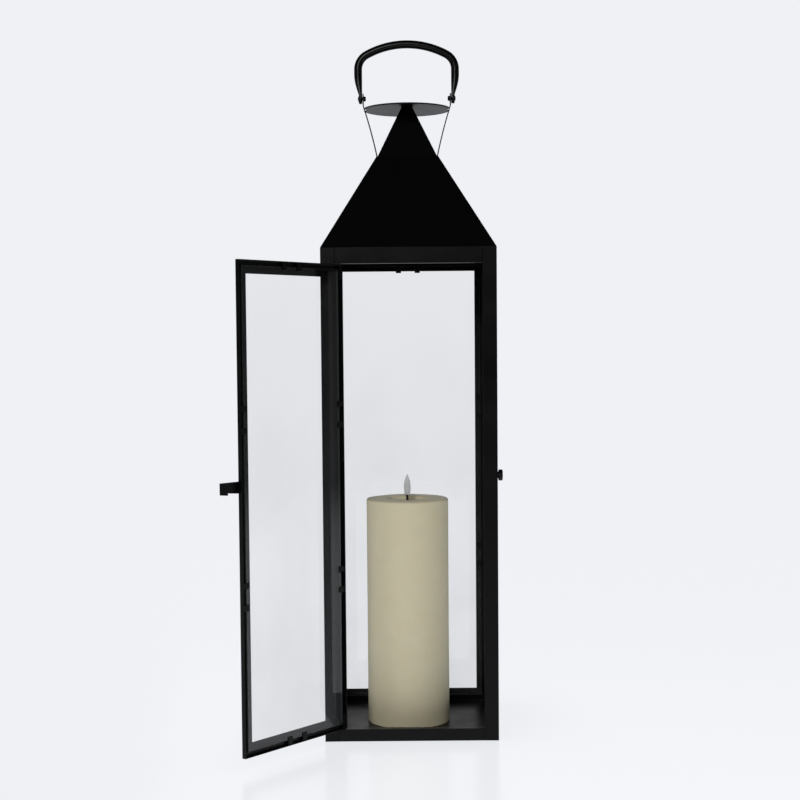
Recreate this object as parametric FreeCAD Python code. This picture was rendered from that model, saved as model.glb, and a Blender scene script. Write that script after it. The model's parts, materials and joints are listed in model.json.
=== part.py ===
# Candle lantern: square sheet-steel body with a glazed door, a pyramid roof, a bail and a
# battery pillar candle.  Millimetres, +Z up, the front faces -Y, and the origin is the middle
# of the underside.  Every piece is a solid of its own and is written to parts/NODE.step.
import FreeCAD, Part
import math
import os

V = FreeCAD.Vector

# ---- Driving dimensions: body ----
body_width = 152.4          # square on plan
body_height = 431.5         # underside to the roof's base
sheet = 1.0                 # steel sheet of the body
bend_radius = 0.8           # outside radius of a folded edge
door_bend_radius = 0.6
post_leg = 12.4             # width of each leg of a corner angle
top_rail_height = 14.0
bottom_rail_height = 12.6
front_lip_height = 10.8
pivot_flange = 6.0          # inward flange that carries a door pin
pan_wall = 6.0              # upturned edge of the floor pan

# ---- Glazing ----
glass_thickness = 2.0
pane_inset = 7.4            # pane's upright edge from the body's outside corner
clip_sheet = 0.8
clip_width = 5.0
clip_corner_gap = 0.2       # between the feet of two sides' clips in a corner
clip_show = 1.7             # how far an upper or lower clip's tip stands out past the frame's edge
clip_hide = 0.6             # how far a side clip's tip stays behind the frame's edge
clip_pair_spacing = 18.0

# ---- Fasteners ----
roof_screw_radius = 1.5
roof_screw_offset = 40.0
screw_head_radius = 2.7
screw_head_height = 1.8
screw_reach = 2.5           # screw's tip above the roof's folded edge
rivet_radius = 1.6
strap_rivet_x = 18.0
strap_rivet_head = (2.6, 1.2)       # radius and height
strap_rivet_tail = (2.2, 0.8)
shield_rivet_head = (3.4, 1.7)
shield_rivet_tail = (2.4, 0.9)
bail_pin_radius = 1.5
bail_pin_head = (2.25, 2.0)
bail_pin_tail = (2.3, 0.8)
latch_rivet_radius = 1.0
latch_rivet_head = (1.55, 0.9)
latch_rivet_tail = (1.5, 0.6)

# ---- Roof, shield and bail strap ----
roof_rise = 83.7            # roof's base to the small upper pyramid that stands on it
roof_seam_half = 27.3
cap_base_half = 26.4
cap_rise = 46.8             # height of the upper pyramid
cap_top_half = 4.7
shield_radius = 39.8
shield_drop = 2.8           # how far the rim hangs below the middle
shield_sheet = 0.8
shield_flat_radius = 8.0
shield_sag = 0.28           # share of the drop reached half way to the rim
shield_notch_gap = 0.358    # shield's notch to a strap arm, the arm's bow counted in
cap_tab_x = 14.0
cap_tab_inset = 1.2         # tab's middle from the upper pyramid's edge
cap_tab_half_length = 4.0
cap_tab_half_thickness = 0.4
cap_tab_drop = 4.0          # tab below the lower roof's top
cap_tab_slot_gap = 0.15
strap_thickness = 0.9
strap_width = 14.0
strap_bow = 0.7             # how far a strap arm bows inwards from straight
strap_end_lap = 4.8         # strap above the bail's pivot
strap_arm_straight = 6.5    # straight part of an arm below the pivot
strap_foot_lap = 1.0        # strap past the upper pyramid's edge before it bends up
strap_slot_gap = 0.2

# ---- Bail ----
bail_pivot_lift = 7.7       # pivot above the upper pyramid's flat tip
bail_bar_diameter = 7.2
bail_shield_gap = 0.45      # bar's inside to the shield's rim
bail_rise = 48.6            # pivot to the middle of the bar at the top
bail_top_radius = 76.0
bail_corner_radius = 15.0
bail_eye_thickness = 3.2
bail_eye_width = 8.4
bail_eye_gap = 0.35         # between a flattened end and the strap
bail_neck = 3.4             # flattened part above the pivot
bail_leg_straight = 4.35    # fully round leg between the taper and the corner
bail_eye_overlap = 0.4      # eye's round end past half its width, and taper's end in the bar
bail_taper_inset = 0.06     # taper's end is this much thinner than the bar it runs into
pin_running_clearance = 0.06

# ---- Door ----
door_open_angle = 128.9     # how far the door stands open in this model
hinge_gap = 0.8
free_edge_gap = 0.5
door_end_gap = 0.6          # above and below the door
door_sheet = 0.9
door_face = 11.2            # width of the frame's face
door_depth = 4.2            # depth of the frame's return
door_glass_inset = 4.6      # pane's edge from the door's outside edge
door_clip_reach = 7.6
hinge_inset = 2.4           # pin axis from the door's hinge edge
hinge_depth = 1.2           # pin axis behind the door's front
hinge_pin_radius = 0.75
hinge_pin_reach = 2.2       # how far a pin stands out of the door's end
hinge_block_width = 3.0
hinge_block_depth = 2.4
hinge_block_length = 12.0

# ---- Latch ----
latch_height = 233.2        # middle of the strip
latch_width = 9.6
latch_sheet = 0.8
latch_overhang = 20.1       # past the door's free edge
latch_flap = 6.3
latch_joggle = 0.5          # gap between the strip and the post that it crosses
latch_waist = 1.4
latch_rivet_inset = 3.0
latch_rivet_spacing = 4.8
stud_head_radius = 4.9
stud_head_thickness = 3.6
stud_neck = 0.8
stud_shank_radius = 1.3
stud_clearance = 0.3
stud_from_front = 5.2
stud_neck_radius = 3.0
stud_head_corner = 0.7
stud_tail = (1.8, 0.8)
magnet_radius = 3.4
magnet_thickness = 1.9

# ---- Candle ----
candle_x = -2.4             # the candle stands a little left of the middle
candle_radius = 37.5
candle_height = 206.0
candle_edge_radius = 2.2
wax_wall = 5.0
wax_top = 17.0
pool_radius = 18.5
pool_depth = 3.4
pool_edge_radius = 2.4
flame_hole_radius = 4.6
core_wall = 1.6
core_base_lift = 1.6        # recess of the plastic base inside the wax
core_base = 2.0
battery_radius = 13.1
battery_length = 50.0
battery_nub_radius = 3.2
battery_nub = 1.5
battery_cover_radius = 24.0
cover_clearance = 0.25
cover_lug = 2.0             # how far the cover's two lugs reach past its rim
cover_lug_half = 4.0
cover_unlock_angle = 30.0
module_radius = 9.0
module_wall = 1.4
module_gap = 0.05
module_height = 50.0
module_rise = 9.0           # drive's top above the core's top
coil_outer_radius = 6.6
coil_inner_radius = 3.4
coil_height = 6.0
led_radius = 1.5
led_length = 6.0
led_below_top = 0.4
battery_floor_gap = 2.2
battery_side_gap = 0.4      # each battery from the middle
battery_edge = 0.6
contact_spring_height = 3.7
contact_spring_radii = (2.6, 5.2)
bridge_spring_radii = (3.2, 1.6)
bridge_sheet = 0.5
bridge_half_width = 5.0
bridge_spring_gap = 0.35
cover_lug_sheet = 1.0
cover_lug_lift = 0.35
coin_slot = (18.0, 2.2, 0.9)        # length, width and depth
board_radius = 21.0
board_thickness = 1.6
board_post_height = 6.0
board_post_radius = 2.0
board_post_circle = 16.0
board_shelf = 2.0
switch_body = (12.0, 4.4, 5.0)      # length, width and height
switch_slot = (9.2, 3.0)
switch_chamber = (9.6, 3.0, 2.4)
switch_slider = (4.0, 2.0)
switch_slider_lift = 0.7
switch_slider_reach = 1.9
pivot_below_top = 17.0      # paddle's pivot below the candle's top
pivot_wire_radius = 0.5
flame_blade_height = 19.8
flame_blade_half_width = 3.15
flame_blade_thickness = 1.3
flame_stem_half_width = 1.1
flame_stem_drop = 30.0      # pivot down to the magnet
flame_blade_lift = 2.0      # blade's foot above the candle's top
flame_blade_bulge = 0.42    # share of the height at which the blade is widest
flame_blade_foot_half = 2.3
flame_blade_tip_half = 0.12
flame_boss_radius = 2.3
flame_boss_half = 1.2
flame_magnet_radius = 2.4
flame_magnet_height = 4.0
switch_travel = 4.0

# ---- Worked-out places ----
half = body_width / 2
inner = half - sheet
opening_half = half - post_leg
front = -half
pane_half = half - pane_inset
glass_lap = pane_half - opening_half
pane_top = body_height - top_rail_height + glass_lap
pane_clip_heights = (body_height / 3, body_height * 2 / 3)
door_left = -opening_half + hinge_gap
door_right = opening_half - free_edge_gap
door_bottom = front_lip_height + door_end_gap
door_top = body_height - top_rail_height - door_end_gap
hinge_x = door_left + hinge_inset
hinge_y = front + hinge_depth
candle_bottom = sheet
stud_y = front + stud_from_front
candle_top = candle_bottom + candle_height
flame_pivot = candle_top - pivot_below_top
roof_seam_height = body_height + roof_rise
cap_top_height = roof_seam_height + cap_rise
bail_pivot_height = cap_top_height + bail_pivot_lift
bail_top_height = bail_pivot_height + bail_rise
bail_half_span = shield_radius + bail_shield_gap + bail_bar_diameter / 2
clip_foot = post_leg - sheet - glass_lap - clip_sheet - clip_corner_gap
nodes = {}


# ---- Shape helpers ----
def box(x0, x1, y0, y1, z0, z1):
    return Part.makeBox(x1 - x0, y1 - y0, z1 - z0, V(x0, y0, z0))


def rod(radius, start, end):
    return Part.makeCylinder(radius, (end - start).Length, start, end - start)


def prism(points, push):
    """Solid from a flat polygon pushed along a vector."""
    return Part.Face(Part.makePolygon(points + points[:1])).extrude(push)


def turned(profile, x, y):
    """Solid of revolution about the vertical line through (x, y) from (radius, z) points."""
    points = [V(x + radius, y, z) for radius, z in profile]
    return Part.Face(Part.makePolygon(points + points[:1])).revolve(V(x, y, 0), V(0, 0, 1), 360)


def frustum(half_low, z_low, half_high, z_high):
    """Square pyramid with its point cut off."""
    corners = ((-1, -1), (1, -1), (1, 1), (-1, 1))
    low = [V(x * half_low, y * half_low, z_low) for x, y in corners]
    high = [V(x * half_high, y * half_high, z_high) for x, y in corners]
    rings = [low, high]
    for i in range(4):
        j = (i + 1) % 4
        rings.append([low[i], low[j], high[j], high[i]])
    faces = [Part.Face(Part.makePolygon(ring + ring[:1])) for ring in rings]
    solid = Part.Solid(Part.Shell(faces))
    if solid.Volume < 0:
        solid.reverse()
    return solid


def rounded(shape, radius, wanted):
    """Fillet the edges for which wanted(edge) is true."""
    return shape.makeFillet(radius, [edge for edge in shape.Edges if wanted(edge)])


def upright_edge_at(x, y):
    """Test for a vertical edge that stands at (x, y)."""
    def wanted(edge):
        ends = [vertex.Point for vertex in edge.Vertexes]
        if len(ends) != 2 or abs(ends[0].z - ends[1].z) < 1:
            return False
        return all(math.hypot(end.x - x, end.y - y) < 0.01 for end in ends)
    return wanted


def circle_at(radius, z):
    """Test for a horizontal circle of this radius at height z."""
    def wanted(edge):
        curve = edge.Curve
        if not isinstance(curve, Part.Circle):
            return False
        return abs(curve.Radius - radius) < 0.01 and abs(curve.Center.z - z) < 0.01
    return wanted


def turned_to_side(shape, quarter_turns):
    """Copy of a front piece carried round to another side of the square body."""
    copy = shape.copy()
    copy.rotate(V(0, 0, 0), V(0, 0, 1), 90 * quarter_turns)
    return copy


def group(solids):
    return Part.makeCompound(solids)


SIDE_TURNS = {"right": 1, "rear": 2, "left": 3}


# ---- Body frame ----
def corner_post():
    """Front left corner angle."""
    front_leg = box(-half, -opening_half, -half, -inner, 0, body_height)
    side_leg = box(-half, -inner, -half, -opening_half, 0, body_height)
    angle = front_leg.fuse(side_leg).removeSplitter()
    return rounded(angle, bend_radius, upright_edge_at(-half, -half))


def make_posts():
    stud_hole = rod(stud_shank_radius, V(inner - 1, stud_y, latch_height), V(half + 1, stud_y, latch_height))
    for turns, name in enumerate(("front_left", "front_right", "rear_right", "rear_left")):
        post = turned_to_side(corner_post(), turns)
        if name == "front_right":
            post = post.cut(stud_hole)
        nodes["corner_post_" + name] = post


def rail(z0, z1):
    """Flat front rail between two posts."""
    return box(-opening_half, opening_half, -half, -inner, z0, z1)


def pin_hole(z0, z1):
    return rod(hinge_pin_radius + pin_running_clearance, V(hinge_x, hinge_y, z0), V(hinge_x, hinge_y, z1))


def make_bottom_rails():
    lip = rail(0, front_lip_height)
    flange_y = -inner + pivot_flange
    flange = box(-opening_half, opening_half, -inner, flange_y, front_lip_height - sheet, front_lip_height)
    lip = lip.fuse(flange).removeSplitter()
    hole_depth = hinge_pin_reach + door_end_gap
    nodes["front_lip"] = lip.cut(pin_hole(front_lip_height - hole_depth, front_lip_height + 1))
    for side, turns in SIDE_TURNS.items():
        nodes["bottom_rail_" + side] = turned_to_side(rail(0, bottom_rail_height), turns)


def roof_screw_places():
    reach = (inner + opening_half) / 2
    places = []
    for turns in range(4):
        for offset in (-roof_screw_offset, roof_screw_offset):
            places.append((V(offset, -reach, 0), turns))
    return places


def roof_screw_holes(z0, z1):
    holes = []
    for place, turns in roof_screw_places():
        start = V(place.x, place.y, z0)
        holes.append(turned_to_side(rod(roof_screw_radius, start, V(place.x, place.y, z1)), turns))
    return group(holes)


def make_top_rails():
    bottom = body_height - top_rail_height
    ledge = box(-opening_half, opening_half, -inner, -opening_half, body_height - sheet, body_height)
    plain = rail(bottom, body_height).fuse(ledge).removeSplitter()
    flange = box(-opening_half, opening_half, -inner, -inner + pivot_flange, bottom, bottom + sheet)
    front_rail = plain.fuse(flange).removeSplitter().cut(pin_hole(bottom - 1, bottom + hinge_pin_reach))
    holes = roof_screw_holes(body_height - 2 * sheet, body_height + sheet)
    nodes["top_rail_front"] = front_rail.cut(holes)
    for side, turns in SIDE_TURNS.items():
        nodes["top_rail_" + side] = turned_to_side(plain, turns).cut(holes)


def make_floor_pan():
    pan = box(-inner, inner, -inner, inner, 0, pan_wall)
    hollow_half = inner - sheet
    hollow = box(-hollow_half, hollow_half, -hollow_half, hollow_half, sheet, pan_wall + 1)
    nodes["floor_pan"] = pan.cut(hollow)


# ---- Fixed glazing ----
def pane_clip(reach):
    """Stepped clip: its foot is on a frame's inner face, and its tip holds the pane down.

    It is drawn at the origin with the pane's edge along X at z = 0, the pane above it, and the
    frame's inner face in the plane y = 0.
    """
    top = glass_thickness + clip_sheet
    outline = [(0, -clip_foot), (clip_sheet, -clip_foot), (clip_sheet, -clip_sheet),
               (top, -clip_sheet), (top, reach), (glass_thickness, reach), (glass_thickness, 0), (0, 0)]
    points = [V(-clip_width / 2, out, along) for out, along in outline]
    return prism(points, V(clip_width, 0, 0))


def floor_clip(reach, drop):
    """Angle clip that stands on the floor pan and leans on the pane."""
    top = glass_thickness + clip_sheet
    outline = [(glass_thickness, -drop), (glass_thickness + clip_foot, -drop),
               (glass_thickness + clip_foot, clip_sheet - drop), (top, clip_sheet - drop),
               (top, reach), (glass_thickness, reach)]
    points = [V(-clip_width / 2, out, along) for out, along in outline]
    return prism(points, V(clip_width, 0, 0))


def front_pane_clips():
    """All clips of a pane that fills the front side; other sides are turned copies."""
    clips = []
    top_reach = glass_lap + clip_show
    side_reach = glass_lap - clip_hide
    bottom_reach = bottom_rail_height - pan_wall + clip_show
    for shift in (-clip_pair_spacing / 2, clip_pair_spacing / 2):
        top_clip = pane_clip(top_reach)
        top_clip.rotate(V(0, 0, 0), V(0, 1, 0), 180)
        top_clip.translate(V(shift, -inner, pane_top))
        low_clip = floor_clip(bottom_reach, pan_wall - sheet)
        low_clip.translate(V(shift, -inner, pan_wall))
        clips += [top_clip, low_clip]
        for height in pane_clip_heights:
            for side in (-1, 1):
                clip = pane_clip(side_reach)
                clip.rotate(V(0, 0, 0), V(0, 1, 0), -90 * side)
                clip.translate(V(side * pane_half, -inner, height + shift))
                clips.append(clip)
    return clips


def make_fixed_glazing():
    pane = box(-pane_half, pane_half, -inner, -inner + glass_thickness, pan_wall, pane_top)
    for side, turns in SIDE_TURNS.items():
        nodes["glass_pane_" + side] = turned_to_side(pane, turns)
        clips = [turned_to_side(clip, turns) for clip in front_pane_clips()]
        nodes["glass_clips_" + side] = group(clips)


# ---- Roof ----
roof_slope = (half - roof_seam_half) / (roof_seam_height - body_height)
cap_slope = (cap_base_half - cap_top_half) / (cap_top_height - roof_seam_height)
cap_tab_y = cap_base_half - cap_tab_inset


def roof_half(z):
    return half - roof_slope * (z - body_height)


def cap_half(z):
    return cap_base_half - cap_slope * (z - roof_seam_height)


def cap_tabs(grow):
    """Four tabs that hold the upper pyramid; grown a little they cut the slots for them."""
    tabs = []
    for x in (-cap_tab_x, cap_tab_x):
        for y in (-cap_tab_y, cap_tab_y):
            length = cap_tab_half_length + grow
            depth = cap_tab_half_thickness + grow
            tabs.append(box(x - length, x + length, y - depth, y + depth,
                            roof_seam_height - cap_tab_drop, roof_seam_height + 1.1))
    return group(tabs)


def make_roof():
    wall = sheet * math.sqrt(1 + roof_slope ** 2)
    outer = frustum(half, body_height, roof_seam_half, roof_seam_height)
    z_low = body_height + sheet
    z_high = roof_seam_height - sheet
    hollow = frustum(roof_half(z_low) - wall, z_low, roof_half(z_high) - wall, z_high)
    mouth = box(-opening_half, opening_half, -opening_half, opening_half, body_height - 1, z_low)
    roof = outer.cut(hollow).cut(mouth).cut(roof_screw_holes(body_height - 1, z_low + 1))
    roof = roof.cut(cap_tabs(cap_tab_slot_gap))
    for x in (-strap_rivet_x, strap_rivet_x):
        roof = roof.cut(rod(rivet_radius, V(x, 0, z_high - 1), V(x, 0, roof_seam_height + 1)))
    nodes["roof_lower"] = roof

    wall = shield_sheet * math.sqrt(1 + cap_slope ** 2)
    outer = frustum(cap_base_half, roof_seam_height, cap_top_half, cap_top_height)
    z_high = cap_top_height - shield_sheet
    low = roof_seam_height
    hollow = frustum(cap_half(low) - wall, low, cap_half(z_high) - wall, z_high)
    cap = outer.cut(hollow).fuse(cap_tabs(0)).removeSplitter()
    strap_gap = strap_width / 2 + strap_slot_gap
    cap = cap.cut(box(-half, half, -strap_gap, strap_gap, low - 1, low + strap_thickness + 0.1))
    nodes["roof_upper"] = cap.cut(rod(rivet_radius, V(0, 0, z_high - 1), V(0, 0, cap_top_height + 1)))


def make_roof_screws():
    tip = body_height + sheet + screw_reach
    underside = body_height - sheet
    screws = []
    for place, turns in roof_screw_places():
        low = underside - screw_head_height
        profile = [(0, low), (screw_head_radius * 0.7, low),
                   (screw_head_radius, underside - screw_head_height / 2), (screw_head_radius, underside),
                   (roof_screw_radius, underside), (roof_screw_radius, tip - 1), (0, tip)]
        screws.append(turned_to_side(turned(profile, place.x, place.y), turns))
    nodes["roof_screws"] = group(screws)


def shield_profile():
    """Cross-section of the dished shield: a flat middle and a shallow arc down to the rim."""
    rim_z = cap_top_height - shield_drop
    middle = (shield_flat_radius + shield_radius) / 2
    middle_z = cap_top_height - shield_drop * shield_sag
    edges = []
    for lift in (0, shield_sheet):
        start = V(shield_flat_radius, 0, cap_top_height + lift)
        end = V(shield_radius, 0, rim_z + lift)
        edges.append(Part.Arc(start, V(middle, 0, middle_z + lift), end).toShape())
        edges.append(Part.makeLine(V(rivet_radius, 0, start.z), start))
    for radius, z in ((rivet_radius, cap_top_height), (shield_radius, rim_z)):
        edges.append(Part.makeLine(V(radius, 0, z), V(radius, 0, z + shield_sheet)))
    return Part.Face(Part.Wire(Part.__sortEdges__(edges)))


def make_shield():
    disc = shield_profile().revolve(V(0, 0, 0), V(0, 0, 1), 360)
    notch_half = strap_width / 2 + 0.3
    lean = (strap_arm_top - cap_top_height + shield_drop) * strap_arm_slope
    notch_x = strap_arm_x - strap_thickness - lean - shield_notch_gap
    for side in (-1, 1):
        x0, x1 = sorted((side * notch_x, side * (shield_radius + 2)))
        disc = disc.cut(box(x0, x1, -notch_half, notch_half, cap_top_height - 8, cap_top_height + 4))
    nodes["heat_shield"] = disc
    top = cap_top_height + shield_sheet
    under = cap_top_height - shield_sheet
    radius, height = shield_rivet_head
    tail_radius, tail = shield_rivet_tail
    profile = [(0, under - tail), (tail_radius, under - tail), (tail_radius, under),
               (rivet_radius, under), (rivet_radius, top), (radius, top), (radius - 0.4, top + height - 0.8),
               (radius - 1.6, top + height - 0.2), (0, top + height)]
    nodes["shield_rivet"] = turned(profile, 0, 0)


# ---- Bail strap and bail ----
bail_eye_inner = bail_half_span - bail_bar_diameter / 2
strap_arm_x = bail_eye_inner - bail_eye_gap
strap_foot_x = cap_base_half + strap_foot_lap
strap_arm_top = bail_pivot_height - strap_arm_straight
strap_arm_slope = (strap_arm_x - strap_foot_x) / (strap_arm_top - roof_seam_height)


def make_bail_strap():
    """Strap that lies on the roof under the upper pyramid and carries the bail on two arms."""
    low = roof_seam_height
    tip = bail_pivot_height + strap_end_lap
    thick = strap_thickness
    outer_low = V(strap_foot_x, 0, low)
    outer_high = V(strap_arm_x, 0, strap_arm_top)
    bow = V(-strap_bow, 0, 0)
    step_in = V(-thick, 0, 0)
    inner_low = V(strap_foot_x - thick, 0, low + thick)
    outer_arc = Part.Arc(outer_low, (outer_low + outer_high) * 0.5 + bow, outer_high)
    inner_high = outer_high + step_in
    inner_arc = Part.Arc(inner_high, (inner_low + inner_high) * 0.5 + bow, inner_low)
    runs = [V(strap_arm_x, 0, tip), V(strap_arm_x - thick, 0, tip)]
    edges = [Part.makeLine(V(0, 0, low), outer_low), outer_arc.toShape(),
             Part.makeLine(outer_high, runs[0]), Part.makeLine(runs[0], runs[1]),
             Part.makeLine(runs[1], inner_high), inner_arc.toShape(),
             Part.makeLine(inner_low, V(0, 0, low + thick)),
             Part.makeLine(V(0, 0, low + thick), V(0, 0, low))]
    half_strap = Part.Face(Part.Wire(edges)).extrude(V(0, strap_width, 0))
    half_strap.translate(V(0, -strap_width / 2, 0))
    end_circle = rod(strap_width / 2, V(0, 0, tip - strap_width / 2), V(half, 0, tip - strap_width / 2))
    square_end = box(0, half, -half, half, tip - strap_width / 2, tip + 1)
    half_strap = half_strap.cut(square_end.cut(end_circle))
    other_half = half_strap.mirror(V(0, 0, 0), V(1, 0, 0))
    strap = half_strap.fuse(other_half).removeSplitter()
    pivot = V(half, 0, bail_pivot_height)
    strap = strap.cut(rod(bail_pin_radius, V(-half, 0, pivot.z), pivot))
    for x in (-strap_rivet_x, strap_rivet_x):
        strap = strap.cut(rod(rivet_radius, V(x, 0, low - 1), V(x, 0, low + 2)))
    nodes["bail_strap"] = strap


def make_strap_rivets():
    top = roof_seam_height + strap_thickness
    under = roof_seam_height - sheet
    head_radius, head = strap_rivet_head
    tail_radius, tail = strap_rivet_tail
    rivets = []
    for x in (-strap_rivet_x, strap_rivet_x):
        profile = [(0, under - tail), (tail_radius, under - tail), (tail_radius, under),
                   (rivet_radius, under), (rivet_radius, top), (head_radius, top),
                   (head_radius - 0.4, top + head - 0.4), (0, top + head)]
        rivets.append(turned(profile, x, 0))
    nodes["strap_rivets"] = group(rivets)


def make_bail_pins():
    """Round-headed pins through the strap's ends and the bail's eyes."""
    inner_face = strap_arm_x - strap_thickness
    outer_face = bail_eye_inner + bail_eye_thickness + 0.1
    head_radius, head = bail_pin_head
    tail_radius, tail = bail_pin_tail
    profile = [(0, inner_face - head), (head_radius - 0.75, inner_face - head),
               (head_radius, inner_face - head + 0.7), (head_radius, inner_face),
               (bail_pin_radius, inner_face), (bail_pin_radius, outer_face), (tail_radius, outer_face),
               (tail_radius - 0.4, outer_face + tail - 0.2), (0, outer_face + tail)]
    pin = turned(profile, 0, 0)
    pin.rotate(V(0, 0, 0), V(0, 1, 0), 90)
    pin.translate(V(0, 0, bail_pivot_height))
    nodes["bail_pins"] = group([pin, pin.mirror(V(0, 0, 0), V(1, 0, 0))])


def bail_half():
    """Right half of the bail: a round bar bent to an arch, with a flattened eye at its end."""
    bar_radius = bail_bar_diameter / 2
    corner_x = bail_half_span - bail_corner_radius
    top_centre = V(0, 0, bail_top_height - bail_top_radius)
    reach = bail_top_radius - bail_corner_radius
    corner = V(corner_x, 0, top_centre.z + math.sqrt(reach ** 2 - corner_x ** 2))
    direction = (corner - top_centre).normalize()
    join = top_centre + direction * bail_top_radius
    lean = math.atan2(direction.z, direction.x) / 2
    corner_middle = corner + V(math.cos(lean), 0, math.sin(lean)) * bail_corner_radius
    half_turn = (math.pi / 2 + math.atan2(direction.z, direction.x)) / 2
    top_middle = top_centre + V(math.cos(half_turn), 0, math.sin(half_turn)) * bail_top_radius
    leg_low = corner.z - bail_leg_straight
    leg_start = V(bail_half_span, 0, leg_low)
    leg_end = V(bail_half_span, 0, corner.z)
    spine = Part.Wire([Part.makeLine(leg_start, leg_end), Part.Arc(leg_end, corner_middle, join).toShape(),
                       Part.Arc(join, top_middle, V(0, 0, bail_top_height)).toShape()])
    section = Part.Wire([Part.makeCircle(bar_radius, leg_start, V(0, 0, 1))])
    bar = spine.makePipeShell([section], True, True)

    eye_x = bail_eye_inner + bail_eye_thickness / 2
    neck_z = bail_pivot_height + bail_neck
    oval = Part.Ellipse(V(eye_x, bail_eye_width / 2, neck_z), V(eye_x + bail_eye_thickness / 2, 0, neck_z),
                        V(eye_x, 0, neck_z)).toShape()
    taper_end = leg_start + V(0, 0, bail_eye_overlap)
    circle = Part.makeCircle(bar_radius - bail_taper_inset, taper_end, V(0, 0, 1), 90, 450)
    taper = Part.makeLoft([Part.Wire([oval]), Part.Wire([circle])], True, False)
    eye_drop = bail_eye_width / 2 + bail_eye_overlap
    eye = Part.Face(Part.Wire([oval])).extrude(V(0, 0, -(neck_z - bail_pivot_height) - eye_drop))
    eye_round = rod(eye_drop, V(0, 0, bail_pivot_height), V(half, 0, bail_pivot_height))
    keep = eye_round.fuse(box(0, half, -half, half, bail_pivot_height, neck_z + 1))
    solid = bar.fuse(taper).fuse(eye.common(keep))
    hole_radius = bail_pin_radius + pin_running_clearance
    return solid.cut(rod(hole_radius, V(eye_x - 5, 0, bail_pivot_height), V(eye_x + 5, 0, bail_pivot_height)))


def make_bail():
    right = bail_half()
    nodes["bail"] = right.fuse(right.mirror(V(0, 0, 0), V(1, 0, 0)))


# ---- Door, drawn closed and then swung open ----
def swung(shape):
    copy = shape.copy()
    copy.rotate(V(hinge_x, hinge_y, 0), V(0, 0, 1), -door_open_angle)
    return copy


def face_strip(outline):
    """Mitred face of a door member from (x, z) corners."""
    return prism([V(x, front, z) for x, z in outline], V(0, door_sheet, 0))


def make_door_frame():
    in_left = door_left + door_face
    in_right = door_right - door_face
    in_bottom = door_bottom + door_face
    in_top = door_top - door_face
    back = front + door_depth
    low_left, low_right = (door_left, door_bottom), (door_right, door_bottom)
    high_left, high_right = (door_left, door_top), (door_right, door_top)
    in_low_left, in_low_right = (in_left, in_bottom), (in_right, in_bottom)
    in_high_left, in_high_right = (in_left, in_top), (in_right, in_top)
    outlines = {
        "hinge_stile": [low_left, high_left, in_high_left, in_low_left],
        "latch_stile": [low_right, high_right, in_high_right, in_low_right],
        "top": [high_left, high_right, in_high_right, in_high_left],
        "bottom": [low_left, low_right, in_low_right, in_low_left],
    }
    return_low_x = door_left + door_sheet
    return_high_x = door_right - door_sheet
    returns = {
        "hinge_stile": box(door_left, return_low_x, front, back, door_bottom, door_top),
        "latch_stile": box(return_high_x, door_right, front, back, door_bottom, door_top),
        "top": box(return_low_x, return_high_x, front, back, door_top - door_sheet, door_top),
        "bottom": box(return_low_x, return_high_x, front, back, door_bottom, door_bottom + door_sheet),
    }
    corners = {
        "hinge_stile": upright_edge_at(door_left, front),
        "latch_stile": upright_edge_at(door_right, front),
    }
    pin_ends = [(door_bottom - 1, door_bottom + door_sheet), (door_top - door_sheet, door_top + 1)]
    pins = group([rod(hinge_pin_radius, V(hinge_x, hinge_y, low), V(hinge_x, hinge_y, high))
                  for low, high in pin_ends])
    for name, outline in outlines.items():
        member = face_strip(outline)
        if name in corners:
            member = member.fuse(returns[name]).removeSplitter()
            member = rounded(member, door_bend_radius, corners[name])
        else:
            ends = box(return_low_x, return_high_x, front - 1, back + 1, door_bottom - 1, door_top + 1)
            member = member.common(ends).fuse(returns[name]).removeSplitter()
        member = member.cut(pins)
        if name == "latch_stile":
            member = member.cut(latch_rivet_holes())
        nodes["door_" + name] = swung(member)


def make_hinge_pins():
    x0 = door_left + door_sheet
    y0 = front + door_sheet
    ends = {
        "lower": (door_bottom + door_sheet, 1, door_bottom - hinge_pin_reach),
        "upper": (door_top - door_sheet, -1, door_top + hinge_pin_reach),
    }
    for name, (block_end, direction, tip) in ends.items():
        z0, z1 = sorted((block_end, block_end + direction * hinge_block_length))
        block = box(x0, x0 + hinge_block_width, y0, y0 + hinge_block_depth, z0, z1)
        pin = rod(hinge_pin_radius, V(hinge_x, hinge_y, block_end), V(hinge_x, hinge_y, tip))
        nodes["hinge_pin_" + name] = swung(block.fuse(pin))


def make_door_glazing():
    inset = door_glass_inset
    y0 = front + door_sheet
    y1 = y0 + glass_thickness
    pane = box(door_left + inset, door_right - inset, y0, y1, door_bottom + inset, door_top - inset)
    nodes["door_glass"] = swung(pane)

    middle_x = (door_left + door_right) / 2
    reach = door_clip_reach - door_sheet
    foot = [(0, 0), (glass_thickness + clip_sheet, 0), (glass_thickness + clip_sheet, reach),
            (glass_thickness, reach), (glass_thickness, clip_sheet), (0, clip_sheet)]
    points = [V(-clip_width / 2, out, along) for out, along in foot]
    tab = prism(points, V(clip_width, 0, 0))
    tabs = []
    for shift in (-clip_pair_spacing / 2, clip_pair_spacing / 2):
        places = [(0, V(middle_x + shift, y0, door_bottom + door_sheet)),
                  (180, V(middle_x + shift, y0, door_top - door_sheet))]
        for height in pane_clip_heights:
            places.append((90, V(door_left + door_sheet, y0, height + shift)))
            places.append((-90, V(door_right - door_sheet, y0, height + shift)))
        for angle, place in places:
            copy = tab.copy()
            copy.rotate(V(0, 0, 0), V(0, 1, 0), angle)
            copy.translate(place)
            tabs.append(swung(copy))
    nodes["door_glass_clips"] = group(tabs)


# ---- Latch ----
latch_rivet_x = door_right - latch_rivet_inset


def latch_rivet_heights():
    return (latch_height - latch_rivet_spacing / 2, latch_height + latch_rivet_spacing / 2)


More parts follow.
